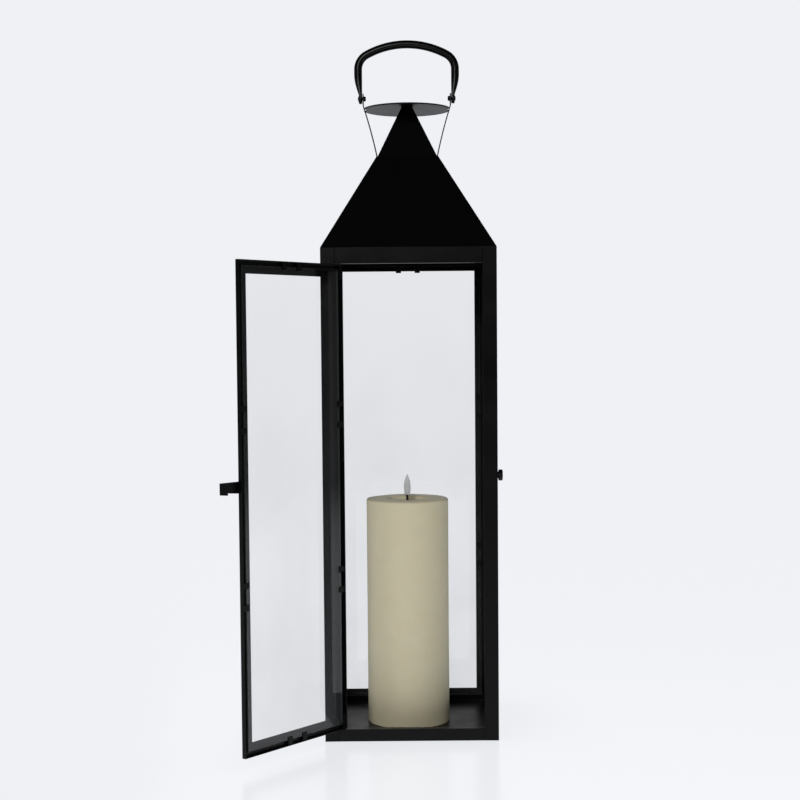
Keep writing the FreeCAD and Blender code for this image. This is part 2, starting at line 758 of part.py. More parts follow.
def latch_rivet_holes():
    holes = []
    for z in latch_rivet_heights():
        holes.append(rod(latch_rivet_radius, V(latch_rivet_x, front - 5, z), V(latch_rivet_x, front + 5, z)))
    return group(holes)


def make_latch():
    tip = door_right + latch_overhang
    flap_inner = half + stud_neck + stud_head_thickness + stud_clearance
    out = -latch_joggle
    outline = [(door_right - door_face, 0), (door_right - door_face, -latch_sheet),
               (door_right - 1.4, -latch_sheet), (door_right, out - latch_sheet),
               (tip - 0.5, out - latch_sheet), (tip, out - latch_sheet + 0.5),
               (flap_inner + latch_sheet, latch_flap), (flap_inner, latch_flap),
               (tip - latch_sheet - 0.1, out), (door_right + 0.2, out), (door_right - 1.2, 0)]
    low = latch_height - latch_width / 2
    points = [V(x, front + depth, low) for x, depth in outline]
    strip = prism(points, V(0, 0, latch_width))
    waist_end = tip - 3.4
    waist = [V(door_right + 1, front - 5, low - 1), V(door_right + 1, front - 5, low),
             V(waist_end, front - 5, low + latch_waist), V(waist_end + 1, front - 5, low - 1)]
    strip = strip.cut(prism(waist, V(0, 5, 0)))
    nodes["latch_strip"] = swung(strip.cut(latch_rivet_holes()))

    rivets = []
    front_face = -latch_sheet
    head_radius, head = latch_rivet_head
    tail_radius, tail = latch_rivet_tail
    for z in latch_rivet_heights():
        profile = [(0, front_face - head), (head_radius - 0.55, front_face - head + 0.2),
                   (head_radius, front_face), (latch_rivet_radius, front_face),
                   (latch_rivet_radius, door_sheet), (tail_radius, door_sheet),
                   (tail_radius - 0.2, door_sheet + tail), (0, door_sheet + tail)]
        rivet = turned(profile, 0, 0)
        rivet.rotate(V(0, 0, 0), V(1, 0, 0), -90)
        rivet.translate(V(latch_rivet_x, front, z))
        rivets.append(swung(rivet))
    nodes["latch_rivets"] = group(rivets)


def make_catch():
    neck = stud_neck
    top = stud_neck + stud_head_thickness
    soft = stud_head_corner
    cup = top - magnet_thickness
    tail_radius, tail = stud_tail
    profile = [(0, -sheet - tail), (tail_radius, -sheet - tail), (tail_radius, -sheet),
               (stud_shank_radius, -sheet), (stud_shank_radius, 0), (stud_neck_radius, 0),
               (stud_neck_radius, neck), (stud_head_radius - soft, neck),
               (stud_head_radius, neck + soft), (stud_head_radius, top - soft),
               (stud_head_radius - soft, top),
               (magnet_radius, top), (magnet_radius, cup), (0, cup)]
    stud = turned(profile, 0, 0)
    magnet = rod(magnet_radius, V(0, 0, cup), V(0, 0, top))
    for name, shape in (("catch_stud", stud), ("catch_magnet", magnet)):
        shape.rotate(V(0, 0, 0), V(0, 1, 0), 90)
        shape.translate(V(half, stud_y, latch_height))
        nodes[name] = shape


# ---- Candle ----
wax_inner = candle_radius - wax_wall
core_top = candle_top - wax_top
core_low = candle_bottom + core_base_lift
core_floor = core_low + core_base
battery_low = core_floor + battery_floor_gap
battery_high = battery_low + battery_length + battery_nub
board_plate = battery_high + contact_spring_height
module_top = core_top + module_rise
module_low = module_top - module_height


def candle_tube(radius, z0, z1):
    return rod(radius, V(candle_x, 0, z0), V(candle_x, 0, z1))


def make_wax():
    profile = [(0, candle_bottom), (candle_radius, candle_bottom), (candle_radius, candle_top),
               (pool_radius, candle_top), (pool_radius, candle_top - pool_depth),
               (0, candle_top - pool_depth)]
    wax = turned(profile, candle_x, 0)
    wax = rounded(wax, candle_edge_radius, circle_at(candle_radius, candle_top))
    wax = rounded(wax, pool_edge_radius, circle_at(pool_radius, candle_top))
    wax = wax.cut(candle_tube(wax_inner, candle_bottom - 1, core_top))
    wax = wax.cut(candle_tube(module_radius + module_gap, core_top - 1, module_top))
    nodes["wax_pillar"] = wax.cut(candle_tube(flame_hole_radius, module_top - 1, candle_top))


def switch_box(half_x, half_y, z0, z1, shift=0.0):
    """Box on the switch's middle, half way between the battery cover and the core's wall."""
    y = (battery_cover_radius + cover_clearance + wax_inner - core_wall) / 2
    x = candle_x + shift
    return box(x - half_x, x + half_x, -y - half_y, -y + half_y, z0, z1)


def make_core():
    case = candle_tube(wax_inner, core_low, core_top)
    case = case.cut(candle_tube(wax_inner - core_wall, core_floor, core_top - core_wall))
    case = case.cut(candle_tube(battery_cover_radius + cover_clearance, core_low - 1, core_floor + 1))
    case = case.cut(candle_tube(module_radius + module_gap, core_top - core_wall - 1, core_top + 1))
    slot_length, slot_width = switch_slot
    case = case.cut(switch_box(slot_length / 2, slot_width / 2, core_low - 1, core_floor + 1))
    for turn in (cover_unlock_angle, cover_unlock_angle + 180):
        notch = box(0, battery_cover_radius + cover_lug + 0.4, -cover_lug_half - 0.4, cover_lug_half + 0.4,
                    core_low - 1, core_floor + 1)
        notch.rotate(V(0, 0, 0), V(0, 0, 1), turn)
        notch.translate(V(candle_x, 0, 0))
        case = case.cut(notch)
    shelf = candle_tube(wax_inner - core_wall, board_plate, board_plate + board_shelf)
    case = case.fuse(shelf)
    for angle in (90, 210, 330):
        x = candle_x + board_post_circle * math.cos(math.radians(angle))
        y = board_post_circle * math.sin(math.radians(angle))
        foot = V(x, y, board_plate + board_shelf)
        case = case.fuse(rod(board_post_radius, foot, foot + V(0, 0, board_post_height)))
    nodes["candle_core"] = case.removeSplitter()


def make_power():
    shift = battery_radius + battery_side_gap
    edge = battery_edge
    wide_low, wide_high = contact_spring_radii
    foot_radius, tip_radius = bridge_spring_radii
    slot_length, slot_width, slot_depth = coin_slot
    places = (("battery_left", candle_x - shift, True), ("battery_right", candle_x + shift, False))
    for name, x, nub_up in places:
        can_low = battery_low if nub_up else battery_low + battery_nub
        can_high = can_low + battery_length
        profile = [(0, can_low), (battery_radius - edge, can_low), (battery_radius, can_low + edge),
                   (battery_radius, can_high - edge), (battery_radius - edge, can_high), (0, can_high)]
        can = turned(profile, x, 0)
        nub_z = (can_high, battery_high) if nub_up else (battery_low, can_low)
        nodes[name] = can.fuse(rod(battery_nub_radius, V(x, 0, nub_z[0]), V(x, 0, nub_z[1])))
    contacts = []
    for x in (candle_x - shift, candle_x + shift):
        profile = [(0, battery_high), (wide_low, battery_high), (wide_high, board_plate), (0, board_plate)]
        contacts.append(turned(profile, x, 0))
    nodes["battery_contacts"] = group(contacts)

    cover = candle_tube(battery_cover_radius, core_low, core_floor)
    lug_low = core_floor + cover_lug_lift
    for side in (-1, 1):
        rim = side * (battery_cover_radius - 3)
        x0, x1 = sorted((rim, side * (battery_cover_radius + cover_lug)))
        lug = box(x0, x1, -cover_lug_half, cover_lug_half, lug_low,
                  lug_low + cover_lug_sheet)
        x0, x1 = sorted((rim, side * (battery_cover_radius - 1.2)))
        riser = box(x0, x1, -cover_lug_half, cover_lug_half, core_floor - 0.5, lug_low + 0.5)
        for piece in (lug, riser):
            piece.translate(V(candle_x, 0, 0))
            cover = cover.fuse(piece)
    slot = box(candle_x - slot_length / 2, candle_x + slot_length / 2, -slot_width / 2, slot_width / 2,
               core_low - 1, core_low + slot_depth)
    nodes["battery_cover"] = cover.cut(slot).removeSplitter()
    bridge_top = core_floor + bridge_sheet
    bridge_half = shift + bridge_half_width
    bridge = box(candle_x - bridge_half, candle_x + bridge_half, -bridge_half_width, bridge_half_width,
                 core_floor, bridge_top)
    for x in (candle_x - shift, candle_x + shift):
        tip = battery_low - bridge_spring_gap
        profile = [(0, bridge_top), (foot_radius, bridge_top), (tip_radius, tip), (0, tip)]
        bridge = bridge.fuse(turned(profile, x, 0))
    nodes["bridge_contact"] = bridge.removeSplitter()


def make_electronics():
    low = board_plate + board_shelf + board_post_height
    nodes["circuit_board"] = candle_tube(board_radius, low, low + board_thickness)
    length, width, height = switch_body
    body = switch_box(length / 2, width / 2, core_floor, core_floor + height)
    length, width, height = switch_chamber
    hollow = switch_box(length / 2, width / 2, core_floor - 1, core_floor + height)
    nodes["switch_body"] = body.cut(hollow)
    length, width = switch_slider
    nodes["switch_slider"] = switch_box(length / 2, width / 2, candle_bottom + switch_slider_lift,
                                        core_floor + switch_slider_reach, -switch_travel / 2)


def make_flame_module():
    tube = candle_tube(module_radius, module_low, module_top)
    tube = tube.cut(candle_tube(module_radius - module_wall, module_low + module_wall, module_top + 1))
    nodes["flame_module"] = tube
    coil_low = module_low + module_wall
    coil = candle_tube(coil_outer_radius, coil_low, coil_low + coil_height)
    nodes["drive_coil"] = coil.cut(candle_tube(coil_inner_radius, module_low, coil_low + coil_height + 1))
    led_y = -(module_radius - module_wall - led_radius)
    led_top = module_top - led_below_top
    led_low = led_top - led_length
    profile = [(0, led_low), (led_radius, led_low), (led_radius, led_top - led_radius),
               (led_radius - 0.2, led_top - 0.7), (led_radius / 2, led_top - 0.2), (0, led_top)]
    nodes["flame_led"] = turned(profile, candle_x, led_y)
    reach = module_radius - module_wall
    ends = (V(candle_x, -reach, flame_pivot), V(candle_x, reach, flame_pivot))
    nodes["pivot_wire"] = rod(pivot_wire_radius, *ends)


def make_flame():
    blade_low = candle_top + flame_blade_lift
    blade_top = blade_low + flame_blade_height
    wide = flame_blade_half_width
    stem = flame_stem_half_width
    tip_half = flame_blade_tip_half
    bulge = blade_low + flame_blade_height * flame_blade_bulge
    foot = flame_blade_foot_half
    edges = [Part.makeLine(V(-foot, 0, blade_low), V(foot, 0, blade_low))]
    for side in (-1, 1):
        start = V(side * foot, 0, blade_low)
        widest = V(side * wide, 0, bulge)
        low_middle = V(side * (foot + wide) * 0.52, 0, blade_low + (bulge - blade_low) * 0.45)
        tip = V(side * tip_half, 0, blade_top)
        high_middle = V(side * wide * 0.68, 0, bulge + (blade_top - bulge) * 0.52)
        edges.append(Part.Arc(start, low_middle, widest).toShape())
        edges.append(Part.Arc(widest, high_middle, tip).toShape())
    edges.append(Part.makeLine(V(-tip_half, 0, blade_top), V(tip_half, 0, blade_top)))
    outline = Part.Face(Part.Wire(Part.__sortEdges__(edges)))
    blade = outline.extrude(V(0, flame_blade_thickness, 0))
    blade.translate(V(candle_x, -flame_blade_thickness / 2, 0))
    nodes["flame_blade"] = blade

    magnet_low = flame_pivot - flame_stem_drop
    rod_half = flame_blade_thickness / 2
    magnet_high = magnet_low + flame_magnet_height
    spine = box(candle_x - stem, candle_x + stem, -rod_half, rod_half, magnet_high, blade_low)
    boss = rod(flame_boss_radius, V(candle_x, -flame_boss_half, flame_pivot),
               V(candle_x, flame_boss_half, flame_pivot))
    hole_radius = pivot_wire_radius + pin_running_clearance
    hole = rod(hole_radius, V(candle_x, -5, flame_pivot), V(candle_x, 5, flame_pivot))
    nodes["flame_wick"] = spine.fuse(boss).cut(hole)
    nodes["flame_magnet"] = rod(flame_magnet_radius, V(candle_x, 0, magnet_low),
                                V(candle_x, 0, magnet_high))


def main():
    make_floor_pan()
    make_posts()
    make_bottom_rails()
    make_top_rails()
    make_fixed_glazing()
    make_roof()
    make_roof_screws()
    make_shield()
    make_bail_strap()
    make_strap_rivets()
    make_bail_pins()
    make_bail()
    make_door_frame()
    make_hinge_pins()
    make_door_glazing()
    make_latch()
    make_catch()
    make_wax()
    make_core()
    make_power()
    make_electronics()
    make_flame_module()
    make_flame()
    os.makedirs("parts", exist_ok=True)
    for name, shape in nodes.items():
        if not shape.isValid() or shape.Volume <= 0:
            raise ValueError("bad solid: " + name)
        shape.exportStep("parts/" + name + ".step")


main()
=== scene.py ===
"""Candle lantern with a glazed door: the looks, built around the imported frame.

Every shape is made in millimetres in the lantern's own frame (+Z up, the door on the -Y side)
and turned to metres when its piece is finished.  Places and overall sizes come from the frame;
the sizes named here are only those of details that the frame doesn't hold.
"""

import json
import logging
import math
from collections.abc import Callable, Sequence
from dataclasses import dataclass
from enum import Enum

import bmesh
import bpy
from mathutils import Matrix, Vector


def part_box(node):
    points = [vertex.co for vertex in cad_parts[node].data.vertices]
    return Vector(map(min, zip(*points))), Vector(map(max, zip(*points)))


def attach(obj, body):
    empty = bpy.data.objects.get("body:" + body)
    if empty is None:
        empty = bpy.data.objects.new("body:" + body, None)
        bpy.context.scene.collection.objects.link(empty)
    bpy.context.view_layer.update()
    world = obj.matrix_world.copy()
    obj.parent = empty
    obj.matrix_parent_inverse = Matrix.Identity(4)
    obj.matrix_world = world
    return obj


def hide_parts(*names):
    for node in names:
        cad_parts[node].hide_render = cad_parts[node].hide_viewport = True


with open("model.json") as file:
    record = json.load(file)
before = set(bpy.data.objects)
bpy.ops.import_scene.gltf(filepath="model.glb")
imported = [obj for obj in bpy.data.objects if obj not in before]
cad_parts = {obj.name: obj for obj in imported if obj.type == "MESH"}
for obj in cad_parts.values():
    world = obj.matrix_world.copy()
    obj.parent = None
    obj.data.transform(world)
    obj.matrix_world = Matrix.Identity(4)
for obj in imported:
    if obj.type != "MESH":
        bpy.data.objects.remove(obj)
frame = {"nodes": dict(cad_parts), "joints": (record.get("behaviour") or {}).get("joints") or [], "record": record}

LOG = logging.getLogger("lantern")
MM = 0.001
TINY = 1e-5
FULL_TURN = 2 * math.pi
WHITE = (1.0, 1.0, 1.0, 1.0)
SAME_POINT = 0.002                  # millimetres between points that are one
FLAT_ANGLE = math.radians(0.4)      # facets that bend less than this are one face
SHARP_ANGLE = math.radians(32)      # edges that bend more than this are rolled over
NORMAL_WEIGHT = 60                  # how far large faces lead the shading
SPRING_STEPS = 22                   # points in one turn of a spring
Outline = list[tuple[float, float]]
Corners = Sequence[tuple[float, float, float]]
Socket = bpy.types.NodeSocket


# ---- Colour and nodes ----
def linear(colour: str) -> tuple[float, float, float, float]:
    """Turn an sRGB hex colour into linear red, green, blue and alpha.

    Args:
        colour: Six hex digits after a hash, such as "#DDD6BC".

    Returns:
        Linear values from 0 to 1, with alpha 1.
    """
    values = []
    for start in (1, 3, 5):
        value = int(colour[start:start + 2], 16) / 255
        values.append(value / 12.92 if value <= 0.04045 else ((value + 0.055) / 1.055) ** 2.4)
    return (*values, 1.0)


def add_node(tree: bpy.types.NodeTree, kind: str, inputs: dict[str | int, object] | None = None,
             **settings: object) -> bpy.types.Node:
    """Add a node with its settings, its fixed inputs and its links.

    Args:
        tree: The node tree that it goes in.
        kind: Blender's name of the node's type.
        inputs: Input name or number, and the value or the output socket that feeds it.
        settings: The node's own properties.

    Returns:
        The new node.
    """
    node = tree.nodes.new(kind)
    for name, value in settings.items():
        setattr(node, name, value)
    for key, value in (inputs or {}).items():
        if isinstance(value, Socket):
            tree.links.new(value, node.inputs[key])
        else:
            node.inputs[key].default_value = value
    return node


def blank_material(name: str) -> bpy.types.Material:
    """Make a material whose node tree is empty.

    Args:
        name: The material's name.

    Returns:
        The new material.
    """
    material = bpy.data.materials.new(name)
    material.use_nodes = True
    material.node_tree.nodes.clear()
    return material


def own_place(tree: bpy.types.NodeTree) -> Socket:
    """Places in the piece's own axes, in metres."""
    return add_node(tree, "ShaderNodeTexCoord").outputs["Object"]


def noise(tree: bpy.types.NodeTree, place: Socket, size_mm: float, detail: float = 2.0,
          roughness: float = 0.5) -> Socket:
    """Soft noise with patches of a size, from 0 to 1."""
    return add_node(tree, "ShaderNodeTexNoise", {"Vector": place, "Scale": 1 / (size_mm * MM),
                                                 "Detail": detail, "Roughness": roughness}).outputs["Fac"]


def remap(tree: bpy.types.NodeTree, value: Socket, source: tuple[float, float],
          target: tuple[float, float] = (0.0, 1.0), **settings: object) -> Socket:
    """Value carried from one range to another, and held inside it."""
    return add_node(tree, "ShaderNodeMapRange",
                    {"Value": value, "From Min": source[0], "From Max": source[1],
                     "To Min": target[0], "To Max": target[1]}, **settings).outputs["Result"]


def combine(tree: bpy.types.NodeTree, operation: str, first: float | Socket, second: Socket) -> Socket:
    """Result of one sum on two values."""
    return add_node(tree, "ShaderNodeMath", {0: first, 1: second}, operation=operation).outputs[0]


def blend(tree: bpy.types.NodeTree, share: Socket, colour: str, shade: str) -> Socket:
    """Colour between two hex colours."""
    return add_node(tree, "ShaderNodeMix", {0: share, 6: linear(colour), 7: linear(shade)},
                    data_type="RGBA").outputs[2]


def layered(tree: bpy.types.NodeTree, share: float | Socket, first: Socket, second: Socket) -> Socket:
    """Two shaders mixed, with that share of the second."""
    return add_node(tree, "ShaderNodeMixShader", {0: share, 1: first, 2: second}).outputs[0]


def bump(tree: bpy.types.NodeTree, height: Socket, depth_mm: float, **more: Socket) -> Socket:
    """Normals of a relief of a depth, over any others given as Normal."""
    return add_node(tree, "ShaderNodeBump",
                    {"Height": height, "Distance": depth_mm * MM, **more}).outputs["Normal"]


# ---- Finishes ----
@dataclass(frozen=True)
class Finish:
    """A surface, named for what the real one is and how it was made."""

    name: str

    def dress(self, tree: bpy.types.NodeTree) -> Socket:
        """Build the shader in a node tree and give its output."""
        raise NotImplementedError

    def material(self) -> bpy.types.Material:
        """Give the finish's one material, made when it is first asked for.

        Returns:
            The material.
        """
        known = bpy.data.materials.get(self.name)
        if known is None:
            known = blank_material(self.name)
            tree = known.node_tree
            add_node(tree, "ShaderNodeOutputMaterial", {"Surface": self.dress(tree)})
        return known


@dataclass(frozen=True)
class SprayedEnamel(Finish):
    """Stoving enamel sprayed on cold-rolled sheet steel.

    The sprayed coat dries with a faint orange peel, so reflections ripple a little, and it is a
    touch duller where it went on dry.
    """

    colour: str
    thin_colour: str
    roughness: float
    specular: float
    dry_roughness: float = 0.10     # how much duller the dry patches are
    peel_mm: float = 1.6            # spacing of the orange peel, drawn a little coarse to show
    peel_depth_mm: float = 0.012
    cloud_mm: float = 34.0          # size of the sprayer's passes

    def dress(self, tree: bpy.types.NodeTree) -> Socket:
        """Build the enamel's shader.

        Args:
            tree: The node tree that it goes in.

        Returns:
            The shader's output.
        """
        place = own_place(tree)
        clouds = noise(tree, place, self.cloud_mm, 3.0)
        peel = noise(tree, place, self.peel_mm, 1.5)
        dull = remap(tree, clouds, (0.35, 0.7), (self.roughness, self.roughness + self.dry_roughness))
        return add_node(tree, "ShaderNodeBsdfPrincipled",
                        {"Base Color": blend(tree, clouds, self.colour, self.thin_colour),
                         "Roughness": dull, "Specular IOR Level": self.specular,
                         "Normal": bump(tree, peel, self.peel_depth_mm)}).outputs[0]


@dataclass(frozen=True)
class FloatGlass(Finish):
    """Clear 2 mm float glass: it only dims and mirrors a little, with a breath of dust on it."""

    tint: str = "#FCFCFC"
    ior: float = 1.52
    mirror_roughness: float = 0.02
    dust_colour: str = "#8E9093"
    dust: float = 0.12              # most of the surface that dust hides
    least_dust: float = 0.35        # share of that between the patches
    dust_mm: float = 70.0
    dust_height: float = 0.42       # metres over which the dust thins out, from the bottom up
    dust_aloft: float = 0.04        # share of the dust that is left above that

    def dress(self, tree: bpy.types.NodeTree) -> Socket:
        """Build the glass's shader, which mirrors on its outer side only.

        Args:
            tree: The node tree that it goes in.

        Returns:
            The shader's output.
        """
        place = own_place(tree)
        clear = add_node(tree, "ShaderNodeBsdfTransparent", {"Color": linear(self.tint)})
        mirror = add_node(tree, "ShaderNodeBsdfGlossy",
                          {"Color": WHITE, "Roughness": self.mirror_roughness})
        fresnel = add_node(tree, "ShaderNodeFresnel", {"IOR": self.ior}).outputs[0]
        back = add_node(tree, "ShaderNodeNewGeometry").outputs["Backfacing"]
        share = combine(tree, "MULTIPLY", fresnel, combine(tree, "SUBTRACT", 1.0, back))
        glass = layered(tree, share, clear.outputs[0], mirror.outputs[0])
        height = add_node(tree, "ShaderNodeSeparateXYZ", {0: place}).outputs["Z"]
        settled = remap(tree, height, (0.0, self.dust_height), (1.0, self.dust_aloft))
        film = noise(tree, place, self.dust_mm, 6.0)
        amount = remap(tree, film, (0.3, 0.75), (self.least_dust * self.dust, self.dust))
        dust = add_node(tree, "ShaderNodeBsdfDiffuse", {"Color": linear(self.dust_colour)})
        return layered(tree, combine(tree, "MULTIPLY", amount, settled), glass, dust.outputs[0])


@dataclass(frozen=True)
class Grained(Finish):
    """A moulded, cut or plated surface: one colour in two shades, and a fine grain."""

    colour: str
    shade: str
    roughness: float
    metallic: float = 0.0
    specular: float = 0.5
    clear_coat: float = 0.0
    rough_change: float = 0.08
    grain_mm: float = 0.8
    grain_depth_mm: float = 0.01
    cloud_mm: float = 12.0
    stretch: tuple[float, float, float] = (1.0, 1.0, 1.0)   # above 1 packs the grain closer

    def dress(self, tree: bpy.types.NodeTree) -> Socket:
        """Build the surface's shader.

        Args:
            tree: The node tree that it goes in.

        Returns:
            The shader's output.
        """
        place = own_place(tree)
        along = add_node(tree, "ShaderNodeMapping", {"Vector": place, "Scale": self.stretch}).outputs[0]
        clouds = noise(tree, place, self.cloud_mm, 3.0)
        grain = noise(tree, along, self.grain_mm)
        rough = remap(tree, grain, (0.3, 0.7), (self.roughness, self.roughness + self.rough_change))
        return add_node(tree, "ShaderNodeBsdfPrincipled",
                        {"Base Color": blend(tree, clouds, self.colour, self.shade), "Roughness": rough,
                         "Metallic": self.metallic, "Specular IOR Level": self.specular,
                         "Coat Weight": self.clear_coat,
                         "Normal": bump(tree, grain, self.grain_depth_mm)}).outputs[0]


@dataclass(frozen=True)
class IvoryWax(Finish):
    """Paraffin wax cast in a mould: light goes a little way in, and the skin is faintly mottled."""

    colour: str
    shade: str
    roughness: float = 0.48
    rough_change: float = 0.12
    specular: float = 0.35
    ior: float = 1.44
    glow: float = 0.35              # share of the light that goes in
    glow_reach: tuple[float, float, float] = (1.0, 0.72, 0.42)     # red goes furthest
    depth_mm: float = 2.6           # how far light spreads under the skin
    mottle_mm: float = 16.0
    pore_mm: float = 1.8
    pore_depth_mm: float = 0.03
    drift_depth_mm: float = 0.04

    def dress(self, tree: bpy.types.NodeTree) -> Socket:
        """Build the wax's shader.

        Args:
            tree: The node tree that it goes in.

        Returns:
            The shader's output.
        """
        place = own_place(tree)
        mottle = noise(tree, place, self.mottle_mm, 4.0, 0.6)
        pores = noise(tree, place, self.pore_mm, 3.0)
        spread = remap(tree, mottle, (0.32, 0.68))
        rough = remap(tree, mottle, (0.3, 0.7), (self.roughness, self.roughness + self.rough_change))
        drift = bump(tree, mottle, self.drift_depth_mm)
        return add_node(tree, "ShaderNodeBsdfPrincipled",
                        {"Base Color": blend(tree, spread, self.colour, self.shade), "Roughness": rough,
                         "Subsurface Weight": self.glow, "Subsurface Radius": self.glow_reach,
                         "Subsurface Scale": self.depth_mm * MM, "Specular IOR Level": self.specular,
                         "IOR": self.ior,
                         "Normal": bump(tree, pores, self.pore_depth_mm, Normal=drift)}).outputs[0]


@dataclass(frozen=True)
class FrostedFilm(Finish):
    """Frosted polypropylene, moulded thin: it glows with what is behind it."""

    colour: str
    shade: str
    roughness: float = 0.35
    glow_share: float = 0.45
    clear_share: float = 0.4
    fleck_mm: float = 2.5

    def dress(self, tree: bpy.types.NodeTree) -> Socket:
        """Build the film's shader.

        Args:
            tree: The node tree that it goes in.

        Returns:
            The shader's output.
        """
        fleck = noise(tree, own_place(tree), self.fleck_mm)
        skin = add_node(tree, "ShaderNodeBsdfPrincipled",
                        {"Base Color": blend(tree, fleck, self.colour, self.shade),
                         "Roughness": self.roughness})
        glow = add_node(tree, "ShaderNodeBsdfTranslucent", {"Color": linear(self.colour)})
        clear = add_node(tree, "ShaderNodeBsdfTransparent", {"Color": linear(self.colour)})
        body = layered(tree, self.glow_share, skin.outputs[0], glow.outputs[0])
        return layered(tree, self.clear_share, body, clear.outputs[0])


@dataclass(frozen=True)
class TrackedBoard(Finish):
    """Glass-fibre circuit board under green solder mask, with copper tracks showing through."""

    mask: str
    track: str
    roughness: float = 0.3
    pitch_mm: float = 2.4           # spacing of the tracks
    track_width: float = 0.12       # share of the spacing
    track_length: float = 3.0       # in spacings
    track_depth_mm: float = 0.04

    def dress(self, tree: bpy.types.NodeTree) -> Socket:
        """Build the board's shader.

        Args:
            tree: The node tree that it goes in.

        Returns:
            The shader's output.
        """
        tracks = add_node(tree, "ShaderNodeTexBrick",
                          {"Vector": own_place(tree), "Scale": 1 / (self.pitch_mm * MM),
                           "Color1": linear(self.mask), "Color2": linear(self.mask),
                           "Mortar": linear(self.track), "Mortar Size": self.track_width,
                           "Brick Width": self.track_length, "Row Height": 1.0})
        return add_node(tree, "ShaderNodeBsdfPrincipled",
                        {"Base Color": tracks.outputs["Color"], "Roughness": self.roughness,
                         "Normal": bump(tree, tracks.outputs["Fac"], self.track_depth_mm)}).outputs[0]


# Satin black stoving enamel on the folded sheet steel of the body and the door: a soft, dim mirror.
SATIN_ENAMEL = SprayedEnamel("satin_black_enamel_on_sheet_steel", "#050506", "#080809", 0.28, 0.14)
# The roof had a matting agent in its enamel, so it swallows nearly all light.
MATT_ENAMEL = SprayedEnamel("matt_black_enamel_on_folded_steel", "#030303", "#050505", 0.50, 0.05)
# Dipped gloss enamel flows out smooth on the round bar, so it shows clean long highlights.
GLOSS_ENAMEL = SprayedEnamel("dipped_gloss_enamel_on_steel_bar", "#040405", "#060607", 0.20, 0.16,
                             dry_roughness=0.06, peel_mm=3.0, peel_depth_mm=0.003)
CLEAR_GLASS = FloatGlass("clear_float_glass")
# A seamed glass edge is ground dull, and looks green through the pane's whole width.
GLASS_EDGE = Grained("ground_edge_of_float_glass", "#18231F", "#141D1A", 0.45, grain_mm=0.4,
                     grain_depth_mm=0.02)
WAX = IvoryWax("cast_ivory_paraffin_wax", "#E7DFC0", "#E4DBBB")
# Fine spark-eroded moulds leave an even matt grain on the plastic.
IVORY_PLASTIC = Grained("moulded_ivory_abs", "#E4DEC8", "#DCD5BC", 0.50, grain_mm=0.6,
                        grain_depth_mm=0.02)
BLACK_PLASTIC = Grained("moulded_black_abs", "#0C0C0C", "#111111", 0.46, grain_mm=0.6,
                        grain_depth_mm=0.015)
# Bright nickel over rolled strip: a clean mirror with faint rolling lines.
NICKEL = Grained("nickel_plated_spring_steel", "#B9B6AE", "#A9A69F", 0.22, metallic=1.0,
                 grain_mm=0.5, stretch=(1.0, 1.0, 6.0), grain_depth_mm=0.004)
MAGNET = Grained("nickel_plated_neodymium_magnet", "#9C9B98", "#8B8A88", 0.28, metallic=1.0,
                 grain_mm=0.7, grain_depth_mm=0.004)
SLEEVE = Grained("shrunk_printed_pvc_sleeve", "#1B1D22", "#202329", 0.30, clear_coat=0.3,
                 cloud_mm=30.0, grain_mm=2.0)
SLEEVE_BAND = Grained("shrunk_pvc_sleeve_copper_band", "#A8652F", "#9A5A28", 0.32, clear_coat=0.3,
                      cloud_mm=30.0, grain_mm=2.0)
COPPER_WIRE = Grained("enamelled_copper_wire", "#B4572B", "#9E4A22", 0.30, metallic=1.0,
                      clear_coat=0.5, grain_mm=0.5, stretch=(1.0, 1.0, 4.0))
LAMP_EPOXY = Grained("cast_warm_led_epoxy", "#EBD98A", "#E3CE78", 0.12, clear_coat=0.4)
CHIP_RESIN = Grained("transfer_moulded_chip_resin", "#15161A", "#1A1B20", 0.55)
TIN_SOLDER = Grained("tinned_copper_leads", "#C4C3BF", "#B2B1AD", 0.30, metallic=1.0)
BOARD = TrackedBoard("green_solder_mask_on_glass_fibre", "#0E5A30", "#1D7A45")
FLAME_FILM = FrostedFilm("frosted_polypropylene_flame", "#F4F4F5", "#E6E6E8")


# ---- Mesh making ----
@dataclass(frozen=True)
class Span:
    """The box that a CAD node fills, in millimetres."""

    low: Vector
    high: Vector

    @classmethod
    def of(cls, node: str) -> "Span":
        """The box of the named node at rest."""
        low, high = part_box(node)
        return cls(Vector(low) / MM, Vector(high) / MM)

    @property
    def middle(self) -> Vector:
        """The middle of the box."""
        return (self.low + self.high) / 2

    @property
    def size(self) -> Vector:
        """The box's three side lengths."""
        return self.high - self.low

    @property
    def upright(self) -> Matrix:
        """Matrix that takes the Z axis to the upright line through the middle of the box."""
        return Matrix.Translation(Vector((self.middle.x, self.middle.y, 0)))


def round_turn(count: int) -> Outline:
    """Cosine and sine at even steps round a full turn."""
    angles = [FULL_TURN * step / count for step in range(count)]
    return [(math.cos(angle), math.sin(angle)) for angle in angles]


